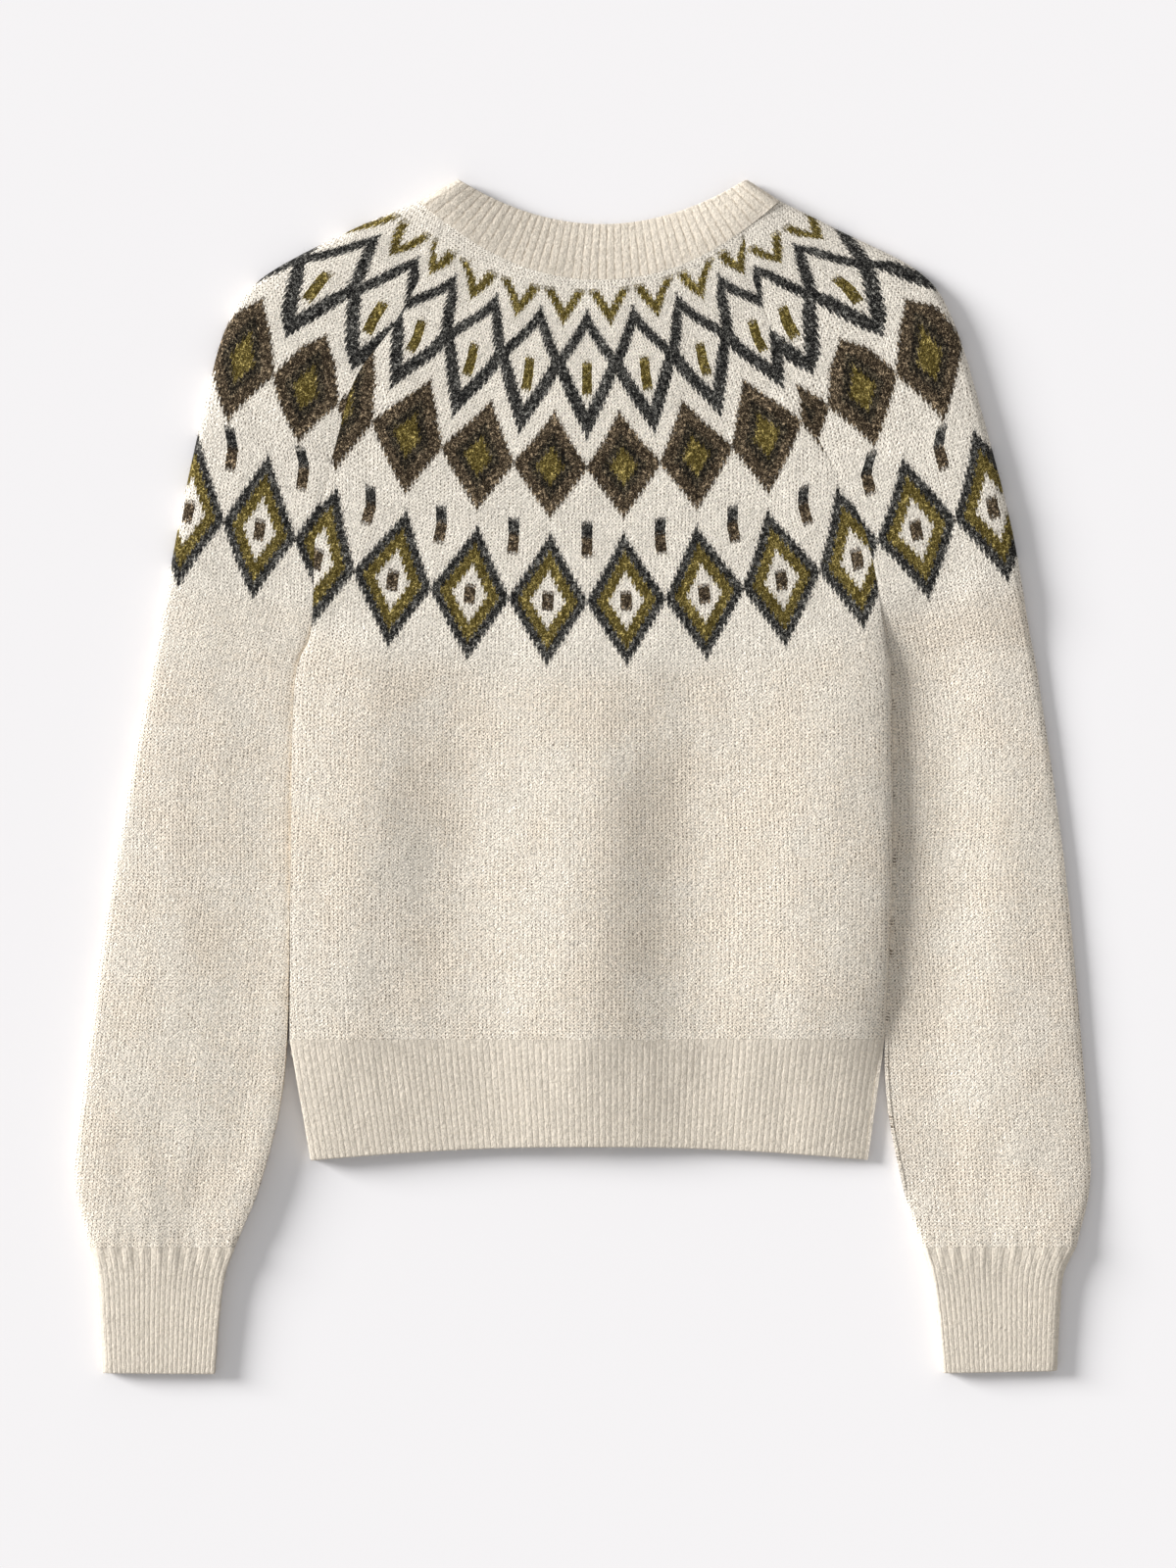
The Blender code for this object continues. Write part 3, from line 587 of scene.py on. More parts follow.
def makeFront(name, side):
    strips = []
    steps = body["frontSteps"]
    for index, row in enumerate(bodyRows(steps)):
        start, end, whole = bodyPlan(index, row, "frontSeam", steps)
        low, span = frontSpan(side, start[0], end[0])

        def plan(u, low=low, span=span, whole=whole, left=start[0], width=end[0] - start[0]):
            return whole((low + np.asarray(u) * span - left) / width)

        edges = frontEdges(row[4], side)
        strips.append(strip(plan, -1, *edges, body["frontColumns"], underHeight))
    return wallObject(name, strips, yokePlace("body", neck["frontLower"]))


def tube(name, rows, columns, under, steps, height, place, soft=None, softUnder=None,
         neckEnd=False, rounded=False):
    # sleeve or cuff: one wall from its back seam over the outer fold to its front seam
    strips = []
    tangents = np.gradient(rows[:, 2:4], axis=0)
    for index, row in enumerate(rows):
        seam, fold = row[:2].copy(), row[2:4].copy()
        side = math.copysign(1.0, fold[0])
        outward = np.array([side, 0.0])
        if neckEnd and index < steps * sleeves["yokeRows"]:
            tangent = tangents[index] / np.hypot(*tangents[index])
            outward = np.array([-tangent[1], tangent[0]]) * side
        along = (fold - seam) / np.hypot(*(fold - seam))
        reach = garment["mid"] / max(along @ outward, sleeves["leastSlant"])
        low = seam.copy()
        weight = 0.0
        if neckEnd:
            weight = bendWeight(index, steps, 1)
            low[1] -= frontDrop(index, steps, rows[0, 0])
            if index == 0:
                seam[1] = neckY("backSeam", seam[0]) - garment["endAir"]
                low[1] = neckY("frontSeam", seam[0]) - garment["endAir"]
                fold[1] -= garment["endAir"]
        edges = sideEdge(row[4], -side, side < 0), foldEdge(reach, tuple(outward))

        def heightRow(x, y, seamX=seam[0], foldX=fold[0], roll=row[4]):
            return height(x, y, seamX, foldX, roll)

        tops = strip(rowPlan(seam, fold, "backSeam", weight), 1, *edges,
                     columns, heightRow, soft)
        unders = strip(rowPlan(low, fold, "frontSeam", weight), -1, *edges,
                       under, underHeight, softUnder)
        lower = (unders[0], unders[1], 2 - unders[2])
        strips.append([np.concatenate([a, b[-2::-1]]) for a, b in zip(tops, lower)])
    return wallObject(name, strips, place, rounded)


def makeSleeve(side):
    def height(x, y, seamX, foldX, roll):
        seam = (1 - roll) * relief["seamDip"] * ease(np.abs(x - seamX) / relief["seamReach"])
        return upperHeight(x, y, sleeveLift(x, y, side, seamX, foldX) - seam)

    rows = refine(sleeves[side], sleeves["rowSteps"])
    return tube(side + "SleeveCloth", rows, sleeves["columns"], sleeves["underColumns"],
                sleeves["rowSteps"], height, yokePlace(side), neckEnd=True)


def ribShape(phase):
    # 1 on the crest of a rib, where phase is whole, and 0 in the furrow
    return (0.5 + 0.5 * np.cos(2 * np.pi * phase)) ** 0.6


def ribStart(along):
    return relief["rib"] * (1 - ease(along / relief["ribRun"]))


def ribPhase(u, margin, ribs):
    return (u - margin) / (1 - 2 * margin) * (2 * ribs - 1) / 2


def ribRelief(u, cos, along, ribs, margin):
    # along is the way from the seam; a rib fades where the wall rolls over
    return ribStart(along) * ribShape(ribPhase(u, margin, ribs)) * (0.3 + 0.7 * cos)


def ribUnder(ribs, margin):
    # on the side that rests, the furrows go in and the crests stay on the surface
    def soft(u, x, y, cos):
        return -0.6 * relief["rib"] * (1 - ribShape(ribPhase(u, margin, ribs))) * cos

    return soft


def ribPlace(ribs, margin):
    # rib number, and depth in millimetres
    def place(x, y, across, along):
        u = np.where(across > 1, 2 - across, across)
        return ribPhase(u, margin, ribs), along

    return place


def makeHemBack():
    strips = []
    rows = refine(hem["rows"], hem["rowSteps"])
    for index, row in enumerate(rows):
        part = index / (len(rows) - 1)
        straight = rowPlan(row[:2], row[2:4])

        def plan(u, arch=hem["arch"] * part, straight=straight):
            points = straight(u)
            points[..., 1] += arch * (1 - (2 * np.asarray(u) - 1) ** 2)
            return points

        def height(x, y, part=part, row=row):
            lift = bodyLift(x, y, row[0], row[2]) * (1 - hem["flatten"] * part)
            return upperHeight(x, y, lift - hem["sink"] * part)

        margin = hem["marginReach"] * garment["mid"] / (row[2] - row[0])

        def soft(u, x, y, cos, margin=margin, part=part):
            return ribRelief(u, cos, part * hem["depth"], hem["ribs"], margin)

        columns = hem["ribs"] * hem["ribColumns"]
        strips.append(strip(plan, 1, *sideEdges(1), columns, height, soft))
    margin = hem["marginReach"] * garment["mid"] / (hem["rows"][0][2] - hem["rows"][0][0])
    return wallObject("hemRibBackCloth", strips, ribPlace(hem["ribs"], margin), True)


def makeHemFront(name, side):
    strips = []
    rows = refine(hem["rows"], hem["frontRowSteps"])
    ribs = hem["ribs"] // 2 - 2           # two less than half of the back's, for the bands
    for index, row in enumerate(rows):
        part = index / (len(rows) - 1)
        low, span = frontSpan(side, row[0], row[2])

        def plan(u, low=low, span=span, row=row, arch=hem["arch"] * part):
            x = low + np.asarray(u) * span
            across = (x - row[0]) / (row[2] - row[0])
            return np.stack([x, row[1] + arch * (1 - (2 * across - 1) ** 2)], axis=-1)

        strips.append(strip(plan, -1, *frontEdges(1, side), ribs * hem["frontRibColumns"],
                            underHeight, ribUnder(ribs, 0.0)))
    return wallObject(name, strips, ribPlace(ribs, 0.0), True)


def makeCuff(side):
    table = cuffs[side]
    rows = refine(table, cuffs["rowSteps"])
    top, foot = table[0][1], table[-1][1]
    ribs, margin = cuffs["ribs"], cuffs["margin"]
    kept, run = cuffs["settle"]

    def height(x, y, seamX, foldX, roll):
        lift = sleeveLift(x, y, side, seamX, foldX) * (kept + (1 - kept) * ease((top - y) / run))
        return upperHeight(x, y, lift - cuffs["sink"] * np.clip((top - y) / (top - foot), 0, 1))

    def soft(u, x, y, cos):
        return ribRelief(u, cos, top - y, ribs, margin)

    columns = ribs * cuffs["ribColumns"]
    return tube(side + "CuffCloth", rows, columns, columns * 3 // 4, cuffs["rowSteps"], height,
                ribPlace(ribs, margin), soft, ribUnder(ribs, margin), rounded=True)


def alongPlace(x, y, across, along):
    return across, along


def neckPoint(seam, edge, part, across):
    # across runs from the neckband's seam to its free edge
    points = []
    for curve in (seam, edge):
        x = neck[curve][0] + neck[curve][1] * np.asarray(part)
        points.append(np.stack([x, neckY(curve, x)], axis=-1))
    return points[0] + (points[1] - points[0]) * across


def makeNeckband():
    strips = []
    ribs, frontRibs, margin = neck["ribs"], neck["frontRibs"], neck["margin"]
    for across in np.linspace(0, 1, neck["rows"]):

        def backPlan(u, across=across):
            return neckPoint("backSeam", "backEdge", 2 * np.asarray(u) - 1, across)

        def backHeight(x, y, across=across):
            seamY = np.minimum(y, neck["backSeam"][2])
            seamZ = upperHeight(x, seamY, relief["crown"] + puffs(x, y))
            free = (neckY("backEdge", x) - neckY("frontEdge", x)) / neck["sinkRun"]
            edgeZ = garment["stack"] - neck["sink"] * np.clip(free, 0, 1)
            return seamZ + (edgeZ - seamZ) * across + neck["bulge"] * math.sin(math.pi * across)

        def soft(u, x, y, cos, across=across):
            return ribRelief(u, cos, across * neck["width"], ribs, margin)

        foldEdges = []
        for xSign, end in ((-1, 0.0), (1, 1.0)):
            away = backPlan(end) - backPlan(end - xSign * margin)
            foldEdges.append(foldEdge(garment["mid"], tuple(away / np.hypot(*away))))
        back = strip(backPlan, 1, *foldEdges, ribs * neck["ribColumns"], backHeight, soft)

        halves = []
        seam, free = neck["frontSeam"], neck["frontEdge"]
        centre = seam[0] + (free[0] - seam[0]) * across
        half = seam[1] + (free[1] - seam[1]) * across
        for xSign, edge in zip((-1, 1), foldEdges):
            meet = (placketX(xSign) - centre) / half

            def frontPlan(u, xSign=xSign, meet=meet, across=across):
                part = xSign + (meet - xSign) * (1 - np.asarray(u))
                return neckPoint("frontSeam", "frontEdge", part, across)

            halves.append(strip(frontPlan, -1, placketEdge(-xSign), edge,
                                frontRibs * neck["frontRibColumns"], underHeight,
                                ribUnder(frontRibs, 0.0)))
        left, right = halves
        left = (*left[:2], left[2] * frontRibs - frontRibs)
        right = (*right[:2], 3 * frontRibs - right[2] * frontRibs)
        back = (*back[:2], ribPhase(back[2], margin, ribs))
        around = zip(left, back, right)
        strips.append([np.concatenate([a[:-1], b, c[-2::-1]]) for a, b, c in around])
    return wallObject("neckbandCloth", strips, alongPlace, True)


def bandRise(offset):
    run = plackets["half"] - plackets["flat"]
    return plackets["rise"] * ease((np.abs(offset) - plackets["flat"]) / run)


def makeBand(name, lift):
    offsets = np.linspace(-plackets["half"], plackets["half"], plackets["columns"])
    pitch, depth = plackets["ribPitch"], plackets["ribDepth"]
    low = bandRise(offsets) + lift
    ribs = depth + depth * np.cos(2 * np.pi * offsets / pitch)
    layers = low + ribs, low + garment["bandWall"]
    strips = []
    for y in np.linspace(plackets["foot"], plackets["top"], plackets["rows"]):
        sides = [np.column_stack([plackets["x"] + offsets, np.full(len(offsets), y), height])
                 for height in layers]
        strips.append([*sides, offsets / pitch + 0.5])
    return wallObject(name, strips, alongPlace)


backCloth = makeBack()
print("back made:", len(backCloth.data.polygons), "faces")
frontLeft = makeFront("frontLeftCloth", -1)
frontRight = makeFront("frontRightCloth", 1)
sleeveCloths = {side: makeSleeve(side) for side in ("left", "right")}
print("sleeves made:", len(sleeveCloths["left"].data.polygons), "faces each")
hemBack = makeHemBack()
hemLeft = makeHemFront("hemRibFrontLeftCloth", -1)
hemRight = makeHemFront("hemRibFrontRightCloth", 1)
cuffCloths = {side: makeCuff(side) for side in ("left", "right")}
neckband = makeNeckband()
buttonholeBand = makeBand("buttonholeBandCloth", 0.0)
buttonBand = makeBand("buttonBandCloth", garment["bandWall"] + garment["air"])
print("ribs and bands made")


# loose fibres of the brushed yarn

fuzz = {
    "length": (2.6, 7.0),
    "radius": 0.055,
    "root": 0.25,             # how deep its root sits in the cloth
    "lift": 0.55,             # how far a fibre arches off the cloth
    "liftSpread": (0.4, 1.3),
    "bend": 0.28,             # sideways, as a part of its length
    "stray": 0.10,            # part of the fibres that stand out further
    "strayLift": 2.2,
    "tipLift": {"stray": 1.1, "laid": 0.15},      # height of the tip as a part of the lift
    "clear": 0.05,            # least gap to the floor
    "perPiece": {"backCloth": 15000, "leftSleeveCloth": 9000, "rightSleeveCloth": 9000,
                 "frontLeftCloth": 3000, "frontRightCloth": 3000, "hemRibBackCloth": 4500,
                 "neckbandCloth": 3500, "leftCuffCloth": 1800, "rightCuffCloth": 1800},
}


def makeFuzz(cloth, count, seed):
    # thin bent hairs with their roots in the outer layer, all in one mesh: a ring at the root,
    # a ring at the bend and a tip
    perHair = 7
    rng = np.random.default_rng(seed)
    mesh = cloth.data
    vertexCount = len(mesh.vertices) // 2
    points = np.zeros(len(mesh.vertices) * 3)
    mesh.vertices.foreach_get("co", points)
    points = points.reshape(-1, 3) / mm
    corners = np.zeros(len(mesh.polygons) * 4, dtype=np.int64)
    mesh.polygons.foreach_get("vertices", corners)
    corners = corners.reshape(-1, 4)
    outer = (corners < vertexCount).all(axis=1)
    faces = corners[outer]
    knit = np.zeros(corners.size * 2)
    mesh.uv_layers["knit"].data.foreach_get("uv", knit)
    knit = knit.reshape(-1, 4, 2)[outer]
    quad = points[faces]
    normal = np.cross(quad[:, 2] - quad[:, 0], quad[:, 3] - quad[:, 1])
    area = np.linalg.norm(normal, axis=1)
    normal /= np.maximum(area, 1e-9)[:, None]
    pick = rng.choice(len(faces), size=count, p=area / area.sum())
    s, t = rng.random((2, count, 1))

    def onFace(corner):
        # the value at the hair's place between a face's four corners
        near = corner[:, 0] * (1 - s) + corner[:, 1] * s
        far = corner[:, 3] * (1 - s) + corner[:, 2] * s
        return near * (1 - t) + far * t

    normal = normal[pick]
    knit, root = onFace(knit[pick]), onFace(quad[pick])
    axis = np.cross(normal, rng.normal(size=(count, 3)) + np.array([0.9, 0.0, 0.0]))
    axis /= np.linalg.norm(axis, axis=1)[:, None]
    side = np.cross(normal, axis)
    length = rng.uniform(*fuzz["length"], size=(count, 1))
    stray = rng.random((count, 1)) < fuzz["stray"]
    lift = fuzz["lift"] * rng.uniform(*fuzz["liftSpread"], size=(count, 1))
    lift = lift * np.where(stray, fuzz["strayLift"], 1.0)
    bend = rng.normal(scale=fuzz["bend"], size=(count, 1)) * length
    tip = np.where(stray, fuzz["tipLift"]["stray"], fuzz["tipLift"]["laid"])
    path = [root - normal * fuzz["root"],
            root + axis * length * 0.45 + side * bend * 0.35 + normal * lift,
            root + axis * length * 0.95 + side * bend + normal * lift * tip]
    for spot in path:
        spot[:, 2] = np.maximum(spot[:, 2], fuzz["radius"] + fuzz["clear"])
    heading = (path[2] - path[0]) / np.linalg.norm(path[2] - path[0], axis=1)[:, None]
    first = np.cross(heading, normal)
    second = np.cross(heading, first)
    rings = []
    for spot, radius in ((path[0], fuzz["radius"]), (path[1], fuzz["radius"] * 0.8)):
        for angle in (0.0, 2.0944, 4.1888):       # thirds of a turn
            rings.append(spot + radius * (first * math.cos(angle) + second * math.sin(angle)))
    vertices = np.stack([*rings, path[2]], axis=1).reshape(-1, 3)
    quads = np.array([[0, 1, 4, 3], [1, 2, 5, 4], [2, 0, 3, 5]])
    triangles = np.array([[2, 1, 0], [3, 4, 6], [4, 5, 6], [5, 3, 6]])
    start = perHair * np.arange(count)[:, None, None]
    faces = (quads + start).reshape(-1, 4).tolist() + (triangles + start).reshape(-1, 3).tolist()
    hairs = bpy.data.meshes.new(cloth.name + "Fuzz")
    hairs.from_pydata((vertices * mm).tolist(), [], faces)
    stitch = knit.repeat(perHair, axis=0)[np.concatenate([np.ravel(face) for face in faces])]
    hairs.uv_layers.new(name="knit").data.foreach_set("uv", stitch.ravel())
    hairs.shade_smooth()
    made = bpy.data.objects.new(cloth.name + "Fuzz", hairs)
    bpy.context.scene.collection.objects.link(made)
    return made


fuzzPieces = {}
for seed, (name, count) in enumerate(fuzz["perPiece"].items()):
    fuzzPieces[name] = makeFuzz(bpy.data.objects[name], count, seed + 11)
print("fibres made:", sum(fuzz["perPiece"].values()))


# buttons and their thread

button = {
    "count": 7, "margin": 13.0, "sides": 48,
    # radius and height, from the middle of the back over the rim to the dished front
    "profile": [(0.0, 2.0), (5.2, 2.0), (6.5, 1.95), (7.1, 1.7), (7.42, 1.3), (7.5, 0.95),
                (7.42, 0.55), (7.15, 0.2), (6.75, 0.03), (6.4, 0.0), (6.05, 0.06), (5.75, 0.3),
                (5.4, 0.46), (4.8, 0.5), (0.0, 0.5)],
    "holes": 1.7,          # half the distance between two holes
    "holeRadius": 0.85, "holeSides": 24,
    # a stitch of thread: where its strands lie side by side, their radius, and its height in
    # the middle and how much further it dips into the holes
    "strands": (-0.34, 0.0, 0.34), "strandRadius": 0.2, "strandSteps": 9, "strandSides": 8,
    "arch": 0.42, "dip": 0.9,
}


def makeButtonMesh():
    # turned on its own axis, with four holes through it
    turned = bpy.data.meshes.new("button")
    outline = [(radius * mm, 0.0, height * mm) for radius, height in button["profile"]]
    turned.from_pydata(outline, [(i, i + 1) for i in range(len(outline) - 1)], [])
    blank = bpy.data.objects.new("button", turned)
    bpy.context.scene.collection.objects.link(blank)
    lathe = blank.modifiers.new("lathe", "SCREW")
    lathe.steps = lathe.render_steps = button["sides"]
    lathe.use_merge_vertices = True
    lathe.merge_threshold = 0.00002
    lathe.use_normal_calculate = True
    drills = []
    for x in (-1, 1):
        for y in (-1, 1):
            bpy.ops.mesh.primitive_cylinder_add(
                vertices=button["holeSides"], radius=button["holeRadius"] * mm, depth=6 * mm,
                location=(x * button["holes"] * mm, y * button["holes"] * mm, 1 * mm))
            drill = bpy.context.active_object
            drills.append(drill)
            cut = blank.modifiers.new("hole", "BOOLEAN")
            cut.object = drill
            cut.solver = "EXACT"
    scene = bpy.context.evaluated_depsgraph_get()
    mesh = bpy.data.meshes.new_from_object(blank.evaluated_get(scene))
    mesh.name = "buttonTurned"
    mesh.shade_smooth()
    mesh.set_sharp_from_angle(angle=math.radians(38))
    for old in (blank, *drills):
        bpy.data.objects.remove(old, do_unlink=True)
    return mesh


def makeThreadMesh():
    # two stitches side by side, each an arched bundle from hole to hole
    vertices, faces = [], []
    steps, sides, radius = button["strandSteps"], button["strandSides"], button["strandRadius"]
    for x in (-1, 1):
        for strand in button["strands"]:
            base = len(vertices)
            for i in range(steps):
                part = 2 * i / (steps - 1) - 1
                y = part * button["holes"]
                z = button["arch"] + button["dip"] * abs(part) ** 6
                for k in range(sides):
                    angle = 2 * math.pi * k / sides
                    vertices.append((
                        (x * button["holes"] + strand + radius * math.cos(angle)) * mm, y * mm,
                        (z + radius * math.sin(angle)) * mm))
            for i in range(steps - 1):
                for k in range(sides):
                    a, b = base + i * sides + k, base + i * sides + (k + 1) % sides
                    faces.append((a, b, b + sides, a + sides))
            faces.append(tuple(base + k for k in range(sides))[::-1])
            faces.append(tuple(base + (steps - 1) * sides + k for k in range(sides)))
    mesh = bpy.data.meshes.new("buttonThread")
    mesh.from_pydata(vertices, [], faces)
    mesh.shade_smooth()
    return mesh


buttonMesh = makeButtonMesh()
threadMesh = makeThreadMesh()
buttons = []
buttonSpots = np.linspace(plackets["foot"] + button["margin"], plackets["top"] - button["margin"],
                          button["count"])
buttonX = plackets["x"] + garment["shiftX"]
for number, y in enumerate(buttonSpots, start=1):
    pair = []
    for label, mesh in (("button", buttonMesh), ("thread", threadMesh)):
        made = bpy.data.objects.new(f"{label}{number}", mesh)
        made.location = (buttonX * mm, (y + garment["shiftY"]) * mm, 0.0)
        bpy.context.scene.collection.objects.link(made)
        pair.append(made)
    buttons.append(pair)
print("buttons made:", len(buttonMesh.polygons), "faces each")


# materials

yarn = {
    "oatmeal": (0.890, 0.815, 0.705),
    "heather": (0.800, 0.708, 0.590),      # darker fibres blended in, in soft patches
    "ivory": (0.850, 0.786, 0.688),
    "rib": (0.655, 0.588, 0.496),
    # furrow and hole are painted shade: the colour of the ribs' furrows and of the gaps between
    # strands
    "furrow": (0.330, 0.265, 0.195),
    "hole": (0.190, 0.130, 0.080),
    "hair": (0.82, 0.78, 0.70),
    # dyed yarns: deepest tone and the tone of the lit fibres
    "charcoal": ((0.003, 0.003, 0.003), (0.54, 0.52, 0.47)),
    "olive": ((0.062, 0.044, 0.007), (0.98, 0.77, 0.26)),
    "brown": ((0.020, 0.013, 0.007), (0.80, 0.60, 0.38)),
    "umber": ((0.004, 0.003, 0.002), (0.42, 0.34, 0.22)),
    # the same for the loose fibres, the sewing thread and the buttons' horn
    "fibre": ((0.70, 0.64, 0.55), (0.86, 0.82, 0.74)),
    "thread": ((0.36, 0.30, 0.22), (0.62, 0.55, 0.43)),
    "horn": ((0.060, 0.028, 0.012), (0.230, 0.130, 0.055)),
}
dyedYarns = ("olive", "umber", "brown", "charcoal")       # a later one lies over the ones before
gauge = {
    "course": 2.1,            # height of a row of stitches
    "chevron": 0.62,          # how steeply a stitch's two strands stand, in rows
    "stitches": (12, 18, 20),             # to one repeat, in three zones
    "zones": (20.0, 148.0),               # depths at which the number changes
    "ribCourse": 2.3, "ribChevron": 0.9,
}


class Graph:
    # short names for building a node tree; a value is a socket or a number
    def __init__(self, tree):
        self.tree = tree

    def node(self, kind, inputs=(), **settings):
        made = self.tree.nodes.new(kind)
        for key, value in settings.items():
            setattr(made, key, value)
        for key, value in dict(inputs).items():
            self.link(made.inputs[key], value)
        return made

    def link(self, socket, value):
        if isinstance(value, bpy.types.NodeSocket):
            self.tree.links.new(value, socket)
        elif hasattr(value, "__len__"):
            socket.default_value = (*value, 1.0) if len(socket.default_value) == 4 else value
        else:
            socket.default_value = value

    def math(self, operation, *values, clamp=False):
        made = self.node("ShaderNodeMath", dict(enumerate(values)), operation=operation)
        made.use_clamp = clamp
        return made.outputs[0]

    def add(self, base, *terms):
        # base and, for each term, its amount times its value, less its middle if it has one
        for amount, value, *middle in terms:
            if middle:
                value = self.math("SUBTRACT", value, middle[0])
            base = self.math("MULTIPLY_ADD", value, amount, base)
        return base

    def product(self, *values):
        total = values[0]
        for value in values[1:]:
            total = self.math("MULTIPLY", total, value)
        return total

    def ramp(self, value, low, high, start=0.0, end=1.0):
        values = {"Value": value, "From Min": low, "From Max": high, "To Min": start, "To Max": end}
        return self.node("ShaderNodeMapRange", values, interpolation_type="SMOOTHSTEP").outputs[0]

    def mix(self, part, a, b):
        made = self.node("ShaderNodeMix", {0: part, 6: a, 7: b}, data_type="RGBA")
        return made.outputs[2]

    def scale(self, colour, value):
        grey = self.node("ShaderNodeCombineColor", {0: value, 1: value, 2: value}).outputs[0]
        made = self.node("ShaderNodeMix", {0: 1.0, 6: colour, 7: grey}, data_type="RGBA",
                         blend_type="MULTIPLY")
        return made.outputs[2]

    def vector(self, x, y, z=0.0):
        return self.node("ShaderNodeCombineXYZ", {0: x, 1: y, 2: z}).outputs[0]

    def noise(self, place, scale, detail=2.0, roughness=0.5, distortion=0.0):
        values = {"Vector": place, "Scale": scale, "Detail": detail, "Roughness": roughness,
                  "Distortion": distortion}
        return self.node("ShaderNodeTexNoise", values).outputs[0]

    def cell(self, place):
        return self.node("ShaderNodeTexWhiteNoise", {"Vector": place}).outputs[0]

    def knit(self):
        uv = self.node("ShaderNodeUVMap", uv_map="knit").outputs[0]
        return self.node("ShaderNodeSeparateXYZ", {0: uv}).outputs

    def place(self):
        return self.node("ShaderNodeTexCoord").outputs["Object"]

    def bump(self, shader, height, strength, distance):
        values = {"Height": height, "Strength": strength, "Distance": distance}
        self.link(shader.inputs["Normal"], self.node("ShaderNodeBump", values).outputs[0])


def newGroup(name, inputs, outputs):
    # inputs and outputs: socket name to its start value, whose kind sets the socket's kind
    tree = bpy.data.node_groups.new(name, "ShaderNodeTree")
    for sockets, way in ((inputs, "INPUT"), (outputs, "OUTPUT")):
        for label, value in sockets.items():
            length = len(value) if hasattr(value, "__len__") else 1
            kind = {1: "NodeSocketFloat", 3: "NodeSocketVector", 4: "NodeSocketColor"}[length]
            made = tree.interface.new_socket(name=label, in_out=way, socket_type=kind)
            if kind != "NodeSocketVector":
                made.default_value = value
    graph = Graph(tree)
    source = tree.nodes.new("NodeGroupInput")
    target = tree.nodes.new("NodeGroupOutput")
    return graph, source.outputs, target.inputs


def makeBrushedGroup():
    # the brushed yarn: streaks of fibre along a strand, mottling, clouds and loose hairs
    graph, given, result = newGroup(
        "brushedYarn", {"Place": (0.0, 0.0, 0.0), "Strand": (0.0, 0.0, 0.0)},
        {"Streak": 0.0, "Mottle": 0.0, "Nap": 0.0, "Cloud": 0.0, "Hair": 0.0})
    graph.link(result["Streak"], graph.noise(given["Strand"], 1.0, 2.0, 0.6))
    graph.link(result["Mottle"], graph.noise(given["Place"], 1350.0, 3.0, 0.65))
    graph.link(result["Nap"], graph.noise(given["Place"], 460.0, 2.0, 0.6))
    graph.link(result["Cloud"], graph.noise(given["Place"], 26.0, 3.0, 0.55))
    total = None
    for turn, size, width in ((0.0, 520.0, 0.016), (37.0, 700.0, 0.020), (91.0, 350.0, 0.011)):
        moved = graph.node("ShaderNodeVectorMath", {0: given["Place"], 1: (turn, 2 * turn, turn)},
                           operation="ADD").outputs[0]
        wave = graph.noise(moved, size, 1.0, 0.4, 0.35)
        away = graph.math("ABSOLUTE", graph.math("SUBTRACT", wave, 0.5))
        line = graph.ramp(away, 0.0, width, 1.0, 0.0)
        gate = graph.ramp(graph.noise(moved, 0.9 * size, 1.0), 0.44, 0.58)
        line = graph.math("MULTIPLY", line, gate)
        total = line if total is None else graph.math("MAXIMUM", total, line)
    graph.link(result["Hair"], total)
    return graph.tree


def makeStitchGroup():
    # stocking stitch: which stitch a place is in, its middle on the chart, and where in it
    inputs = {"Repeat": 0.0, "Depth": 0.0, "Stitches": 20.0, "Course": 2.1, "Chevron": 0.6}
    outputs = {"Column": 0.0, "Row": 0.0, "Repeat Middle": 0.0, "Depth Middle": 0.0,
               "Across": 0.0, "Down": 0.0, "Leg": 0.0}
    graph, given, result = newGroup("stitch", inputs, outputs)
    wide = graph.math("MULTIPLY_ADD", given["Repeat"], given["Stitches"], 0.5)
    column = graph.math("FLOOR", wide)
    signed = graph.math("SUBTRACT", graph.math("SUBTRACT", wide, column), 0.5)
    across = graph.math("MULTIPLY", graph.math("ABSOLUTE", signed), 2.0)
    rows = graph.math("DIVIDE", given["Depth"], given["Course"])
    high = graph.math("MULTIPLY_ADD", across, given["Chevron"], rows)
    row = graph.math("FLOOR", high)
    graph.link(result["Column"], column)
    graph.link(result["Row"], row)
    graph.link(result["Repeat Middle"], graph.math("DIVIDE", column, given["Stitches"]))
    middle = graph.math("MULTIPLY_ADD", given["Chevron"], -0.5, graph.math("ADD", row, 0.5))
    graph.link(result["Depth Middle"], graph.math("MULTIPLY", middle, given["Course"]))
    graph.link(result["Across"], across)
    graph.link(result["Down"], graph.math("SUBTRACT", high, row))
    graph.link(result["Leg"], graph.math("GREATER_THAN", signed, 0.0))
    return graph.tree


# The yoke's motifs, from the neck down. Depths are in millimetres, widths in repeats; a diamond
# is 0 in its middle and 1 on its outline, and its rings end at those parts of it.
motifs = {
    "vees": {"depths": (6.5, 40.0), "leg": (-0.0206, 0.4924), "half": 0.115},
    "lattice": {"foot": 110.0, "widening": (0.0178, -0.449), "narrowing": (-0.01262, 1.156),
                "half": 0.118},
    "bars": {"depths": (51.5, 73.2), "half": 0.083},
    "diamond": {"middle": 119.0, "up": 33.4, "down": 31.0, "rings": (1.05, 0.64, 0.37)},
    "lowerTop": 151.5,            # the motifs below this depth may be shifted sideways
    "ticks": {"depths": (153.1, 162.6, 175.0), "half": 0.076},
    "lowDiamond": {"middle": 203.4, "up": 41.6, "down": 39.0, "rings": (1.04, 0.76, 0.44)},
    "seed": {"depths": (197.4, 209.4), "half": 0.058},
    "ivory": (236.0, 262.0),      # the ivory ground gives way to the oatmeal
}


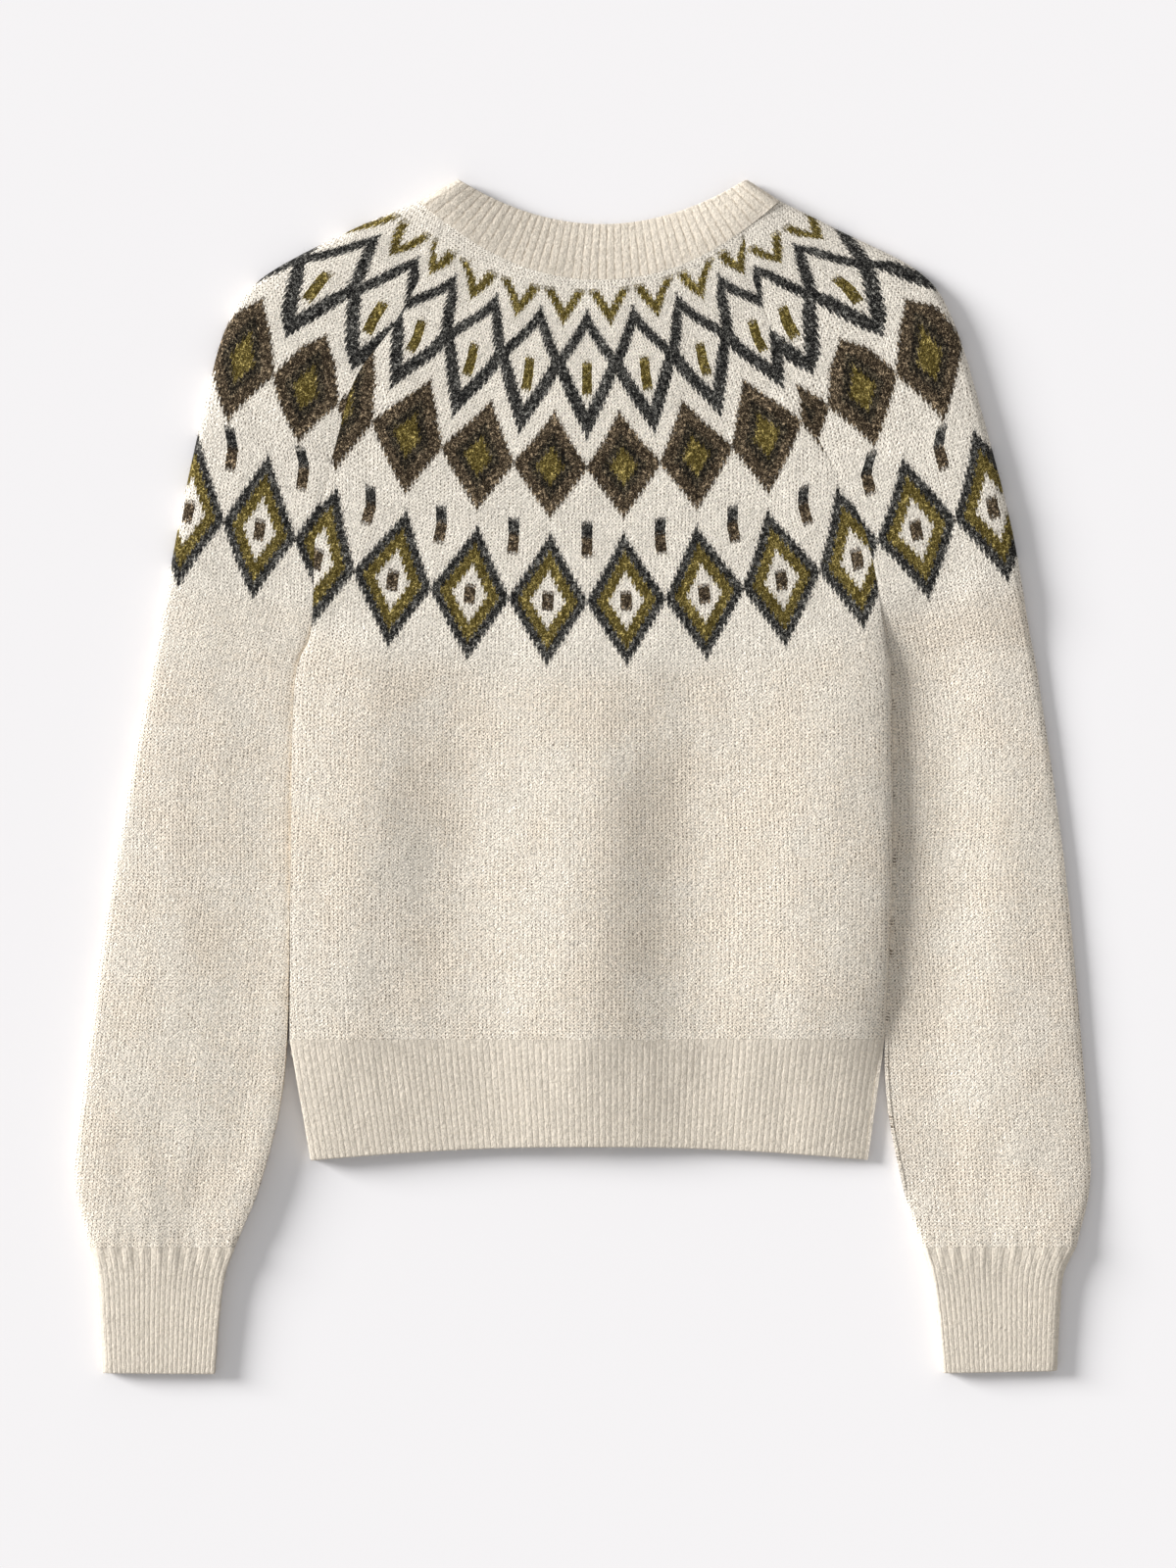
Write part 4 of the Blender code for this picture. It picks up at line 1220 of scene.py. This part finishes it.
def makeChartGroup():
    # the yoke's motifs at a stitch: a mask for each yarn
    inputs = {"Repeat": 0.0, "Depth": 0.0, "Lower Shift": 0.0}
    outputs = {"Charcoal": 0.0, "Olive": 0.0, "Brown": 0.0, "Umber": 0.0, "Ivory": 0.0}
    graph, given, result = newGroup("yokeChart", inputs, outputs)
    depth = given["Depth"]
    lower = graph.math("GREATER_THAN", depth, motifs["lowerTop"])
    number = graph.math("MULTIPLY_ADD", lower, given["Lower Shift"], given["Repeat"])
    whole = graph.math("ABSOLUTE", graph.math("SUBTRACT", number, graph.math("ROUND", number)))
    half = graph.math("SUBTRACT", 0.5, whole)

    def less(a, b):
        return graph.math("LESS_THAN", a, b)

    def either(*masks):
        total = masks[0]
        for mask in masks[1:]:
            total = graph.math("MAXIMUM", total, mask)
        return total

    def without(mask, taken):
        return graph.math("SUBTRACT", mask, taken, clamp=True)

    def between(low, high):
        return graph.product(graph.math("GREATER_THAN", depth, low), less(depth, high))

    def diamond(motif):
        rise = graph.math("DIVIDE", graph.math("SUBTRACT", motif["middle"], depth), motif["up"])
        fall = graph.math("DIVIDE", graph.math("SUBTRACT", depth, motif["middle"]), motif["down"])
        return graph.math("MULTIPLY_ADD", half, 2.0, graph.math("MAXIMUM", rise, fall))

    def rings(size, ends):
        # from the outline inwards
        return [graph.product(less(size, outer), graph.math("GREATER_THAN", size, inner))
                for outer, inner in zip(ends, ends[1:])]

    def slant(line):
        return graph.math("MULTIPLY_ADD", depth, *line)

    def stroke(away, wanted, halfWidth):
        return less(graph.math("ABSOLUTE", graph.math("SUBTRACT", away, wanted)), halfWidth)

    vee, net, bar, tick = (motifs[name] for name in ("vees", "lattice", "bars", "ticks"))
    dark, low, seed = (motifs[name] for name in ("diamond", "lowDiamond", "seed"))
    vees = graph.product(stroke(half, slant(vee["leg"]), vee["half"]), between(*vee["depths"]))
    edge = graph.math("MINIMUM", slant(net["widening"]), slant(net["narrowing"]))
    lattice = graph.product(stroke(whole, edge, net["half"]), less(depth, net["foot"]))
    bars = graph.product(less(whole, bar["half"]), between(*bar["depths"]))
    darkSize = diamond(dark)
    darkBorder, darkInside = rings(darkSize, dark["rings"])
    darkMiddle = less(darkSize, dark["rings"][-1])
    onTick = less(whole, tick["half"])
    tickTop = graph.product(onTick, between(*tick["depths"][:2]))
    tickFoot = graph.product(onTick, between(*tick["depths"][1:]))
    lowBorder, lowRing = rings(diamond(low), low["rings"])
    lowMiddle = graph.product(less(half, seed["half"]), between(*seed["depths"]))
    charcoal = either(lattice, tickTop, lowBorder)
    brown = either(darkBorder, tickFoot, lowMiddle)
    olive = either(vees, bars, darkMiddle, lowRing)
    graph.link(result["Charcoal"], charcoal)
    graph.link(result["Umber"], without(darkInside, charcoal))
    graph.link(result["Brown"], without(brown, charcoal))
    graph.link(result["Olive"], without(olive, either(charcoal, brown, darkInside)))
    graph.link(result["Ivory"], graph.ramp(depth, *motifs["ivory"], 1.0, 0.0))
    return graph.tree


brushedGroup = makeBrushedGroup()
stitchGroup = makeStitchGroup()
chartGroup = makeChartGroup()


def use(graph, tree, **inputs):
    made = graph.node("ShaderNodeGroup", {}, node_tree=tree)
    for label, value in inputs.items():
        graph.link(made.inputs[label.replace("_", " ")], value)
    return made.outputs


def newMaterial(name, roughness, sheen=0.0):
    made = bpy.data.materials.new(name)
    made.use_nodes = True
    shader = made.node_tree.nodes["Principled BSDF"]
    shader.inputs["Roughness"].default_value = roughness
    shader.inputs["Specular IOR Level"].default_value = 0.03
    shader.inputs["Sheen Weight"].default_value = sheen
    shader.inputs["Sheen Roughness"].default_value = 0.6
    return made, Graph(made.node_tree), shader


# how much each thing lightens a stitch, or darkens it where below 0; rowEnd, gap and hole are
# painted shade where strands meet and part
knitLook = {
    "bright": 1.08, "streak": 1.20, "mottle": 1.15, "nap": 0.60, "cloud": 0.36, "stitch": 0.12,
    "rowEnd": -0.20, "gap": -0.30,
    "hole": 0.92,                 # how strongly the painted shade in a gap between strands shows
    "hair": 0.20, "dyedHair": 0.50,
    "wander": (0.034, 1.9),       # of the yarn, in repeats and in millimetres
    "smear": 9.0, "sideways": 0.03,
    "relief": {"round": 0.40, "streak": 0.9, "nap": 2.2, "hole": -1.0},
    "bump": (0.9, 0.0010),        # strength and distance
}
ribLook = {
    "bright": 1.02, "streak": 0.55, "mottle": 0.90, "cloud": 0.14, "stitch": 0.12,
    # rowEnd, cleft and furrow are painted shade: where stitches meet, along a rib's middle and in
    # the furrows
    "rowEnd": -0.08, "cleft": -0.07,
    "furrow": 0.55, "hair": 0.22, "wander": (0.20, 2.0),
    "relief": {"furrow": -0.3, "streak": 0.6, "nap": 1.4},
    "bump": (0.7, 0.0008),
}


def colourMotifs(graph, chart, colour, dye):
    # lays each dyed yarn over the ground, where the chart has it
    for name in dyedYarns:
        colour = graph.mix(chart[name.capitalize()], colour, dye(*yarn[name]))
    return colour


def makeKnit(name, lowerShift):
    made, graph, shader = newMaterial(name, 0.92, 0.03)
    look, knit, place = knitLook, graph.knit(), graph.place()
    # the yarn wanders a little
    repeat = graph.add(knit[0], (look["wander"][0], graph.noise(place, 420.0, 2.0), 0.5))
    depth = graph.add(knit[1], (look["wander"][1], graph.noise(place, 610.0, 1.0), 0.5))
    stitches = gauge["stitches"][0]
    for zone, before, after in zip(gauge["zones"], gauge["stitches"], gauge["stitches"][1:]):
        past = graph.math("GREATER_THAN", knit[1], zone)
        stitches = graph.math("MULTIPLY_ADD", past, after - before, stitches)
    cell = use(graph, stitchGroup, Repeat=repeat, Depth=depth, Stitches=stitches,
               Course=gauge["course"], Chevron=gauge["chevron"])
    across, down = cell["Across"], cell["Down"]
    chance = graph.cell(graph.vector(cell["Column"], cell["Row"], 0.5))
    strand = graph.vector(graph.math("MULTIPLY_ADD", cell["Column"], 5.3, across),
                          graph.math("MULTIPLY", graph.math("ADD", cell["Row"], down), 3.3),
                          graph.math("MULTIPLY", cell["Leg"], 9.7))
    brushed = use(graph, brushedGroup, Place=place, Strand=strand)
    streak, mottle, nap, cloud = (brushed[key] for key in ("Streak", "Mottle", "Nap", "Cloud"))
    # brushed ends carry a stitch's colour over its neighbours, mostly along the columns
    columns = graph.vector(graph.math("MULTIPLY", knit[0], 74.0),
                           graph.math("MULTIPLY", knit[1], 0.16))
    smear = graph.add(cell["Depth Middle"], (look["smear"], graph.noise(columns, 3.0, 1.0), 0.5))
    sideways = graph.add(cell["Repeat Middle"], (look["sideways"], mottle, 0.5))
    chart = use(graph, chartGroup, Repeat=sideways, Depth=smear, Lower_Shift=lowerShift)
    # painted shade in the gaps where strands part, in some patches more than in others
    nearEnd = graph.math("MINIMUM", down, graph.math("SUBTRACT", 1.0, down))
    often = graph.ramp(graph.math("MULTIPLY_ADD", cloud, 1.3, chance), 0.55, 1.35)
    hole = graph.product(graph.ramp(across, 0.50, 0.05), graph.ramp(nearEnd, 0.34, 0.04), often)
    gap = graph.product(graph.ramp(across, 0.72, 1.0), graph.ramp(nearEnd, 0.30, 0.0))
    # rowEnd and gap darken the stitches where they meet: painted shade
    shade = graph.add(
        look["bright"], (look["streak"], streak, 0.5), (look["mottle"], mottle, 0.5),
        (look["nap"], nap, 0.5), (look["rowEnd"], graph.ramp(nearEnd, 0.18, 0.0)),
        (look["gap"], gap), (look["stitch"], chance, 0.5), (look["cloud"], cloud, 0.5))
    blend = graph.ramp(graph.math("MULTIPLY_ADD", cloud, 1.2, nap), 0.85, 1.35)
    ground = graph.mix(blend, yarn["oatmeal"], yarn["heather"])
    ground = graph.scale(graph.mix(chart["Ivory"], ground, yarn["ivory"]), shade)
    # the gaps between strands take the painted shade colour
    ground = graph.mix(graph.math("MULTIPLY", hole, look["hole"]), ground, yarn["hole"])
    hair = graph.math("MULTIPLY", brushed["Hair"], look["hair"])
    dyedHair = graph.math("MULTIPLY", brushed["Hair"], look["dyedHair"])
    lit = graph.ramp(graph.add(streak, (0.8, mottle), (1.1, nap)), 1.38, 1.86)
    # the painted shade in the gaps darkens the dyed yarns too
    lit = graph.product(lit, lit, graph.ramp(hole, 0.0, 0.8, 1.0, 0.2))

    def dye(deep, high):
        return graph.mix(dyedHair, graph.mix(lit, deep, high), high)

    colour = colourMotifs(graph, chart, graph.mix(hair, ground, yarn["hair"]), dye)
    graph.link(shader.inputs["Base Color"], colour)
    raised = look["relief"]
    bulge = graph.math("SINE", graph.math("MULTIPLY", down, math.pi))
    height = graph.add(mottle, (raised["round"], bulge), (raised["streak"], streak),
                       (raised["nap"], nap), (raised["hole"], hole))
    graph.bump(shader, height, *look["bump"])
    return made


def makeRib(name, furrowShade=1.0):
    # the second argument is how dark the painted shade in the furrows is
    made, graph, shader = newMaterial(name, 0.92, 0.03)
    look, knit, place = ribLook, graph.knit(), graph.place()
    wander = graph.math("SUBTRACT", graph.noise(place, 330.0, 2.0), 0.5)
    phase = graph.math("MULTIPLY_ADD", wander, look["wander"][0], knit[0])
    down = graph.math("MULTIPLY_ADD", wander, look["wander"][1], knit[1])
    down = graph.math("DIVIDE", down, gauge["ribCourse"])
    ribNumber = graph.math("ROUND", phase)
    away = graph.math("ABSOLUTE", graph.math("SUBTRACT", phase, ribNumber))
    away = graph.math("MULTIPLY", away, 2.0)
    high = graph.math("MULTIPLY_ADD", away, gauge["ribChevron"], down)
    row = graph.math("FLOOR", high)
    inside = graph.math("SUBTRACT", high, row)
    chance = graph.cell(graph.vector(ribNumber, row, 3.5))
    strand = graph.vector(graph.math("MULTIPLY", knit[0], 5.0),
                          graph.math("MULTIPLY", knit[1], 0.42), ribNumber)
    brushed = use(graph, brushedGroup, Place=place, Strand=strand)
    streak, mottle, nap, cloud = (brushed[key] for key in ("Streak", "Mottle", "Nap", "Cloud"))
    furrow = graph.ramp(away, 0.60, 1.0)
    # rowEnd and the cleft in the shade are painted shade where stitches meet and along a rib's
    # middle
    rowEnd = graph.product(graph.ramp(inside, 0.28, 0.0), graph.ramp(away, 0.75, 0.2))
    shade = graph.add(
        look["bright"], (look["streak"], streak, 0.5), (look["mottle"], mottle, 0.5),
        (look["stitch"], chance, 0.5), (look["cloud"], cloud, 0.5),
        (look["cleft"], graph.ramp(away, 0.22, 0.0)), (look["rowEnd"], rowEnd))
    # painted shade in the furrows, stronger in some patches
    deep = graph.product(furrow, graph.ramp(graph.math("ADD", chance, cloud), 0.3, 1.6))
    colour = graph.scale(yarn["rib"], shade)
    deep = graph.math("MULTIPLY", deep, look["furrow"] * furrowShade)
    colour = graph.mix(deep, colour, yarn["furrow"])
    hair = graph.math("MULTIPLY", brushed["Hair"], look["hair"])
    graph.link(shader.inputs["Base Color"], graph.mix(hair, colour, yarn["hair"]))
    raised = look["relief"]
    height = graph.add(mottle, (raised["furrow"], furrow), (raised["streak"], streak),
                       (raised["nap"], nap))
    graph.bump(shader, height, *look["bump"])
    return made


def makeFibre(name, lowerShift=None):
    # loose fibres: over the yoke they have the colours of the chart
    made, graph, shader = newMaterial(name, 0.8, 0.03)
    tone = graph.noise(graph.place(), 90.0, 1.0)
    colour = graph.mix(tone, *yarn["fibre"])
    if lowerShift is not None:
        knit = graph.knit()
        chart = use(graph, chartGroup, Repeat=knit[0], Depth=knit[1], Lower_Shift=lowerShift)
        lit = graph.ramp(tone, 0.3, 0.75, 0.05, 0.70)
        colour = colourMotifs(graph, chart, colour, lambda deep, high: graph.mix(lit, deep, high))
    graph.link(shader.inputs["Base Color"], colour)
    return made


def makeHorn():
    made, graph, shader = newMaterial("hornButton", 0.34)
    shader.inputs["Specular IOR Level"].default_value = 0.5
    place = graph.place()
    long = graph.node("ShaderNodeVectorMath", {0: place, 1: (1.0, 0.25, 1.0)}, operation="MULTIPLY")
    streaks = graph.ramp(graph.noise(long.outputs[0], 420.0, 4.0, 0.65, 1.2), 0.38, 0.66)
    graph.link(shader.inputs["Base Color"], graph.mix(streaks, *yarn["horn"]))
    fine = graph.noise(place, 2600.0, 2.0)
    graph.link(shader.inputs["Roughness"], graph.ramp(fine, 0.3, 0.7, 0.28, 0.44))
    graph.bump(shader, fine, 0.15, 0.00008)
    return made


def makeThread():
    made, graph, shader = newMaterial("sewingThread", 0.7, 0.1)
    parts = graph.node("ShaderNodeSeparateXYZ", {0: graph.place()}).outputs
    turns = graph.math("MULTIPLY", graph.math("ADD", parts[1], parts[0]), 9000.0)
    twist = graph.math("SINE", turns)
    # the thread is darker in the grooves of its twist, where the bump is lowest: painted shade
    colour = graph.mix(graph.ramp(twist, -1.0, 1.0), *yarn["thread"])
    graph.link(shader.inputs["Base Color"], colour)
    graph.bump(shader, twist, 0.4, 0.0001)
    return made


def dress(piece, material):
    piece.data.materials.clear()
    piece.data.materials.append(material)


bodyKnit = makeKnit("bodyKnit", 0.0)
sleeveKnit = makeKnit("sleeveKnit", 0.5)
# copies of the rib with less or more painted shade in the furrows; the neckband's is darkest
ribKnit = makeRib("ribKnit", 0.55)
bandKnit = makeRib("bandKnit", 0.5)
neckKnit = makeRib("neckKnit", 1.5)
ribFibre = makeFibre("ribFibre")
bodyFibre = makeFibre("bodyFibre", 0.0)
sleeveFibre = makeFibre("sleeveFibre", 0.5)
horn = makeHorn()
thread = makeThread()
for piece in (backCloth, frontLeft, frontRight):
    dress(piece, bodyKnit)
for piece in sleeveCloths.values():
    dress(piece, sleeveKnit)
for piece in (hemBack, hemLeft, hemRight, *cuffCloths.values()):
    dress(piece, ribKnit)
dress(neckband, neckKnit)
for piece in (buttonBand, buttonholeBand):
    dress(piece, bandKnit)
for name, piece in fuzzPieces.items():
    if name in ("backCloth", "frontLeftCloth", "frontRightCloth"):
        dress(piece, bodyFibre)
    else:
        dress(piece, sleeveFibre if "Sleeve" in name else ribFibre)
dress(buttons[0][0], horn)
dress(buttons[0][1], thread)
print("materials made")


# floor, light and camera

paper = {"size": 24.0, "below": 0.0002, "colour": (0.800, 0.786, 0.794, 1.0)}      # in metres
bpy.ops.mesh.primitive_plane_add(size=paper["size"], location=(0.0, 0.0, -paper["below"]))
floor = bpy.context.active_object
floor.name = "floor"
floorMaterial, _, floorShader = newMaterial("paper", 0.95)
floorShader.inputs["Base Color"].default_value = paper["colour"]
floorShader.inputs["Specular IOR Level"].default_value = 0.0
dress(floor, floorMaterial)

light = {"sun": 5.90, "sunHeight": 19.0, "sunAround": 160.0, "sunSoft": 22.0, "sky": 0.536}

sun = bpy.data.objects.new("sun", bpy.data.lights.new("sun", "SUN"))
sun.data.energy = light["sun"]
sun.data.angle = math.radians(light["sunSoft"])
sun.rotation_euler = (0.0, math.radians(90 - light["sunHeight"]), math.radians(light["sunAround"]))
bpy.context.scene.collection.objects.link(sun)

world = bpy.data.worlds.new("studio")
bpy.context.scene.world = world
world.use_nodes = True
sky = world.node_tree.nodes["Background"].inputs
sky["Color"].default_value = (1.0, 1.0, 1.0, 1.0)
sky["Strength"].default_value = light["sky"]

# the camera looks straight down; span is the picture's height, measured at height above the floor
view = {"x": 3.4, "y": -4.65, "span": 992.0, "lens": 100.0, "sensor": 36.0, "height": 7.0}
camera = bpy.data.objects.new("camera", bpy.data.cameras.new("camera"))
camera.data.lens = view["lens"]
camera.data.sensor_width = view["sensor"]
away = view["span"] * view["lens"] / view["sensor"]
camera.location = (view["x"] * mm, view["y"] * mm, (away + view["height"]) * mm)
bpy.context.scene.collection.objects.link(camera)
bpy.context.scene.camera = camera
bpy.context.scene.view_settings.view_transform = "Standard"


# what each piece stands for, and what it was cut from

cuts = {
    # piece: node, slot, flat width and length in metres, flat area (none: the whole rectangle),
    # and what it rests on
    "backCloth": ("back", "knit", (0.40, 0.53), None, ["frontLeftCloth", "frontRightCloth"]),
    "frontLeftCloth": ("front_left", "knit", (0.19, 0.52), None, ["floor"]),
    "frontRightCloth": ("front_right", "knit", (0.19, 0.52), None, ["floor"]),
    "leftSleeveCloth": ("sleeve_left", "knit", (0.25, 0.66), None, ["floor"]),
    "rightSleeveCloth": ("sleeve_right", "knit", (0.25, 0.66), None, ["floor"]),
    "hemRibBackCloth": ("hem_rib_back", "rib", (0.40, 0.08), None, ["floor"]),
    "hemRibFrontLeftCloth": ("hem_rib_front_left", "rib", (0.19, 0.08), None, ["floor"]),
    "hemRibFrontRightCloth": ("hem_rib_front_right", "rib", (0.19, 0.08), None, ["floor"]),
    "leftCuffCloth": ("cuff_left", "rib", (0.19, 0.08), None, ["floor"]),
    "rightCuffCloth": ("cuff_right", "rib", (0.19, 0.08), None, ["floor"]),
    "neckbandCloth": ("neckband", "rib", (0.50, 0.03), None, ["floor"]),
    "buttonBandCloth": ("button_band", "rib", (0.028, 0.546), None, ["buttonholeBandCloth"]),
    "buttonholeBandCloth": ("buttonhole_band", "rib", (0.028, 0.546), None, ["floor"]),
}
for name, (node, slot, flat, area, restsOn) in cuts.items():
    piece = bpy.data.objects[name]
    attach(piece, "root")
    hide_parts(node)
    loose = [fuzzPieces[name]] if name in fuzzPieces else []
    for hairs in loose:
        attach(hairs, "root")
for number, (turned, stitches) in enumerate(buttons, start=1):
    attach(turned, "root")
    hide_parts(f"button_{number}")
    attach(stitches, "root")

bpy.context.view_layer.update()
total = sum(len(piece.data.polygons) for piece in bpy.data.objects if piece.type == "MESH")
print("pieces declared; faces in all:", total)
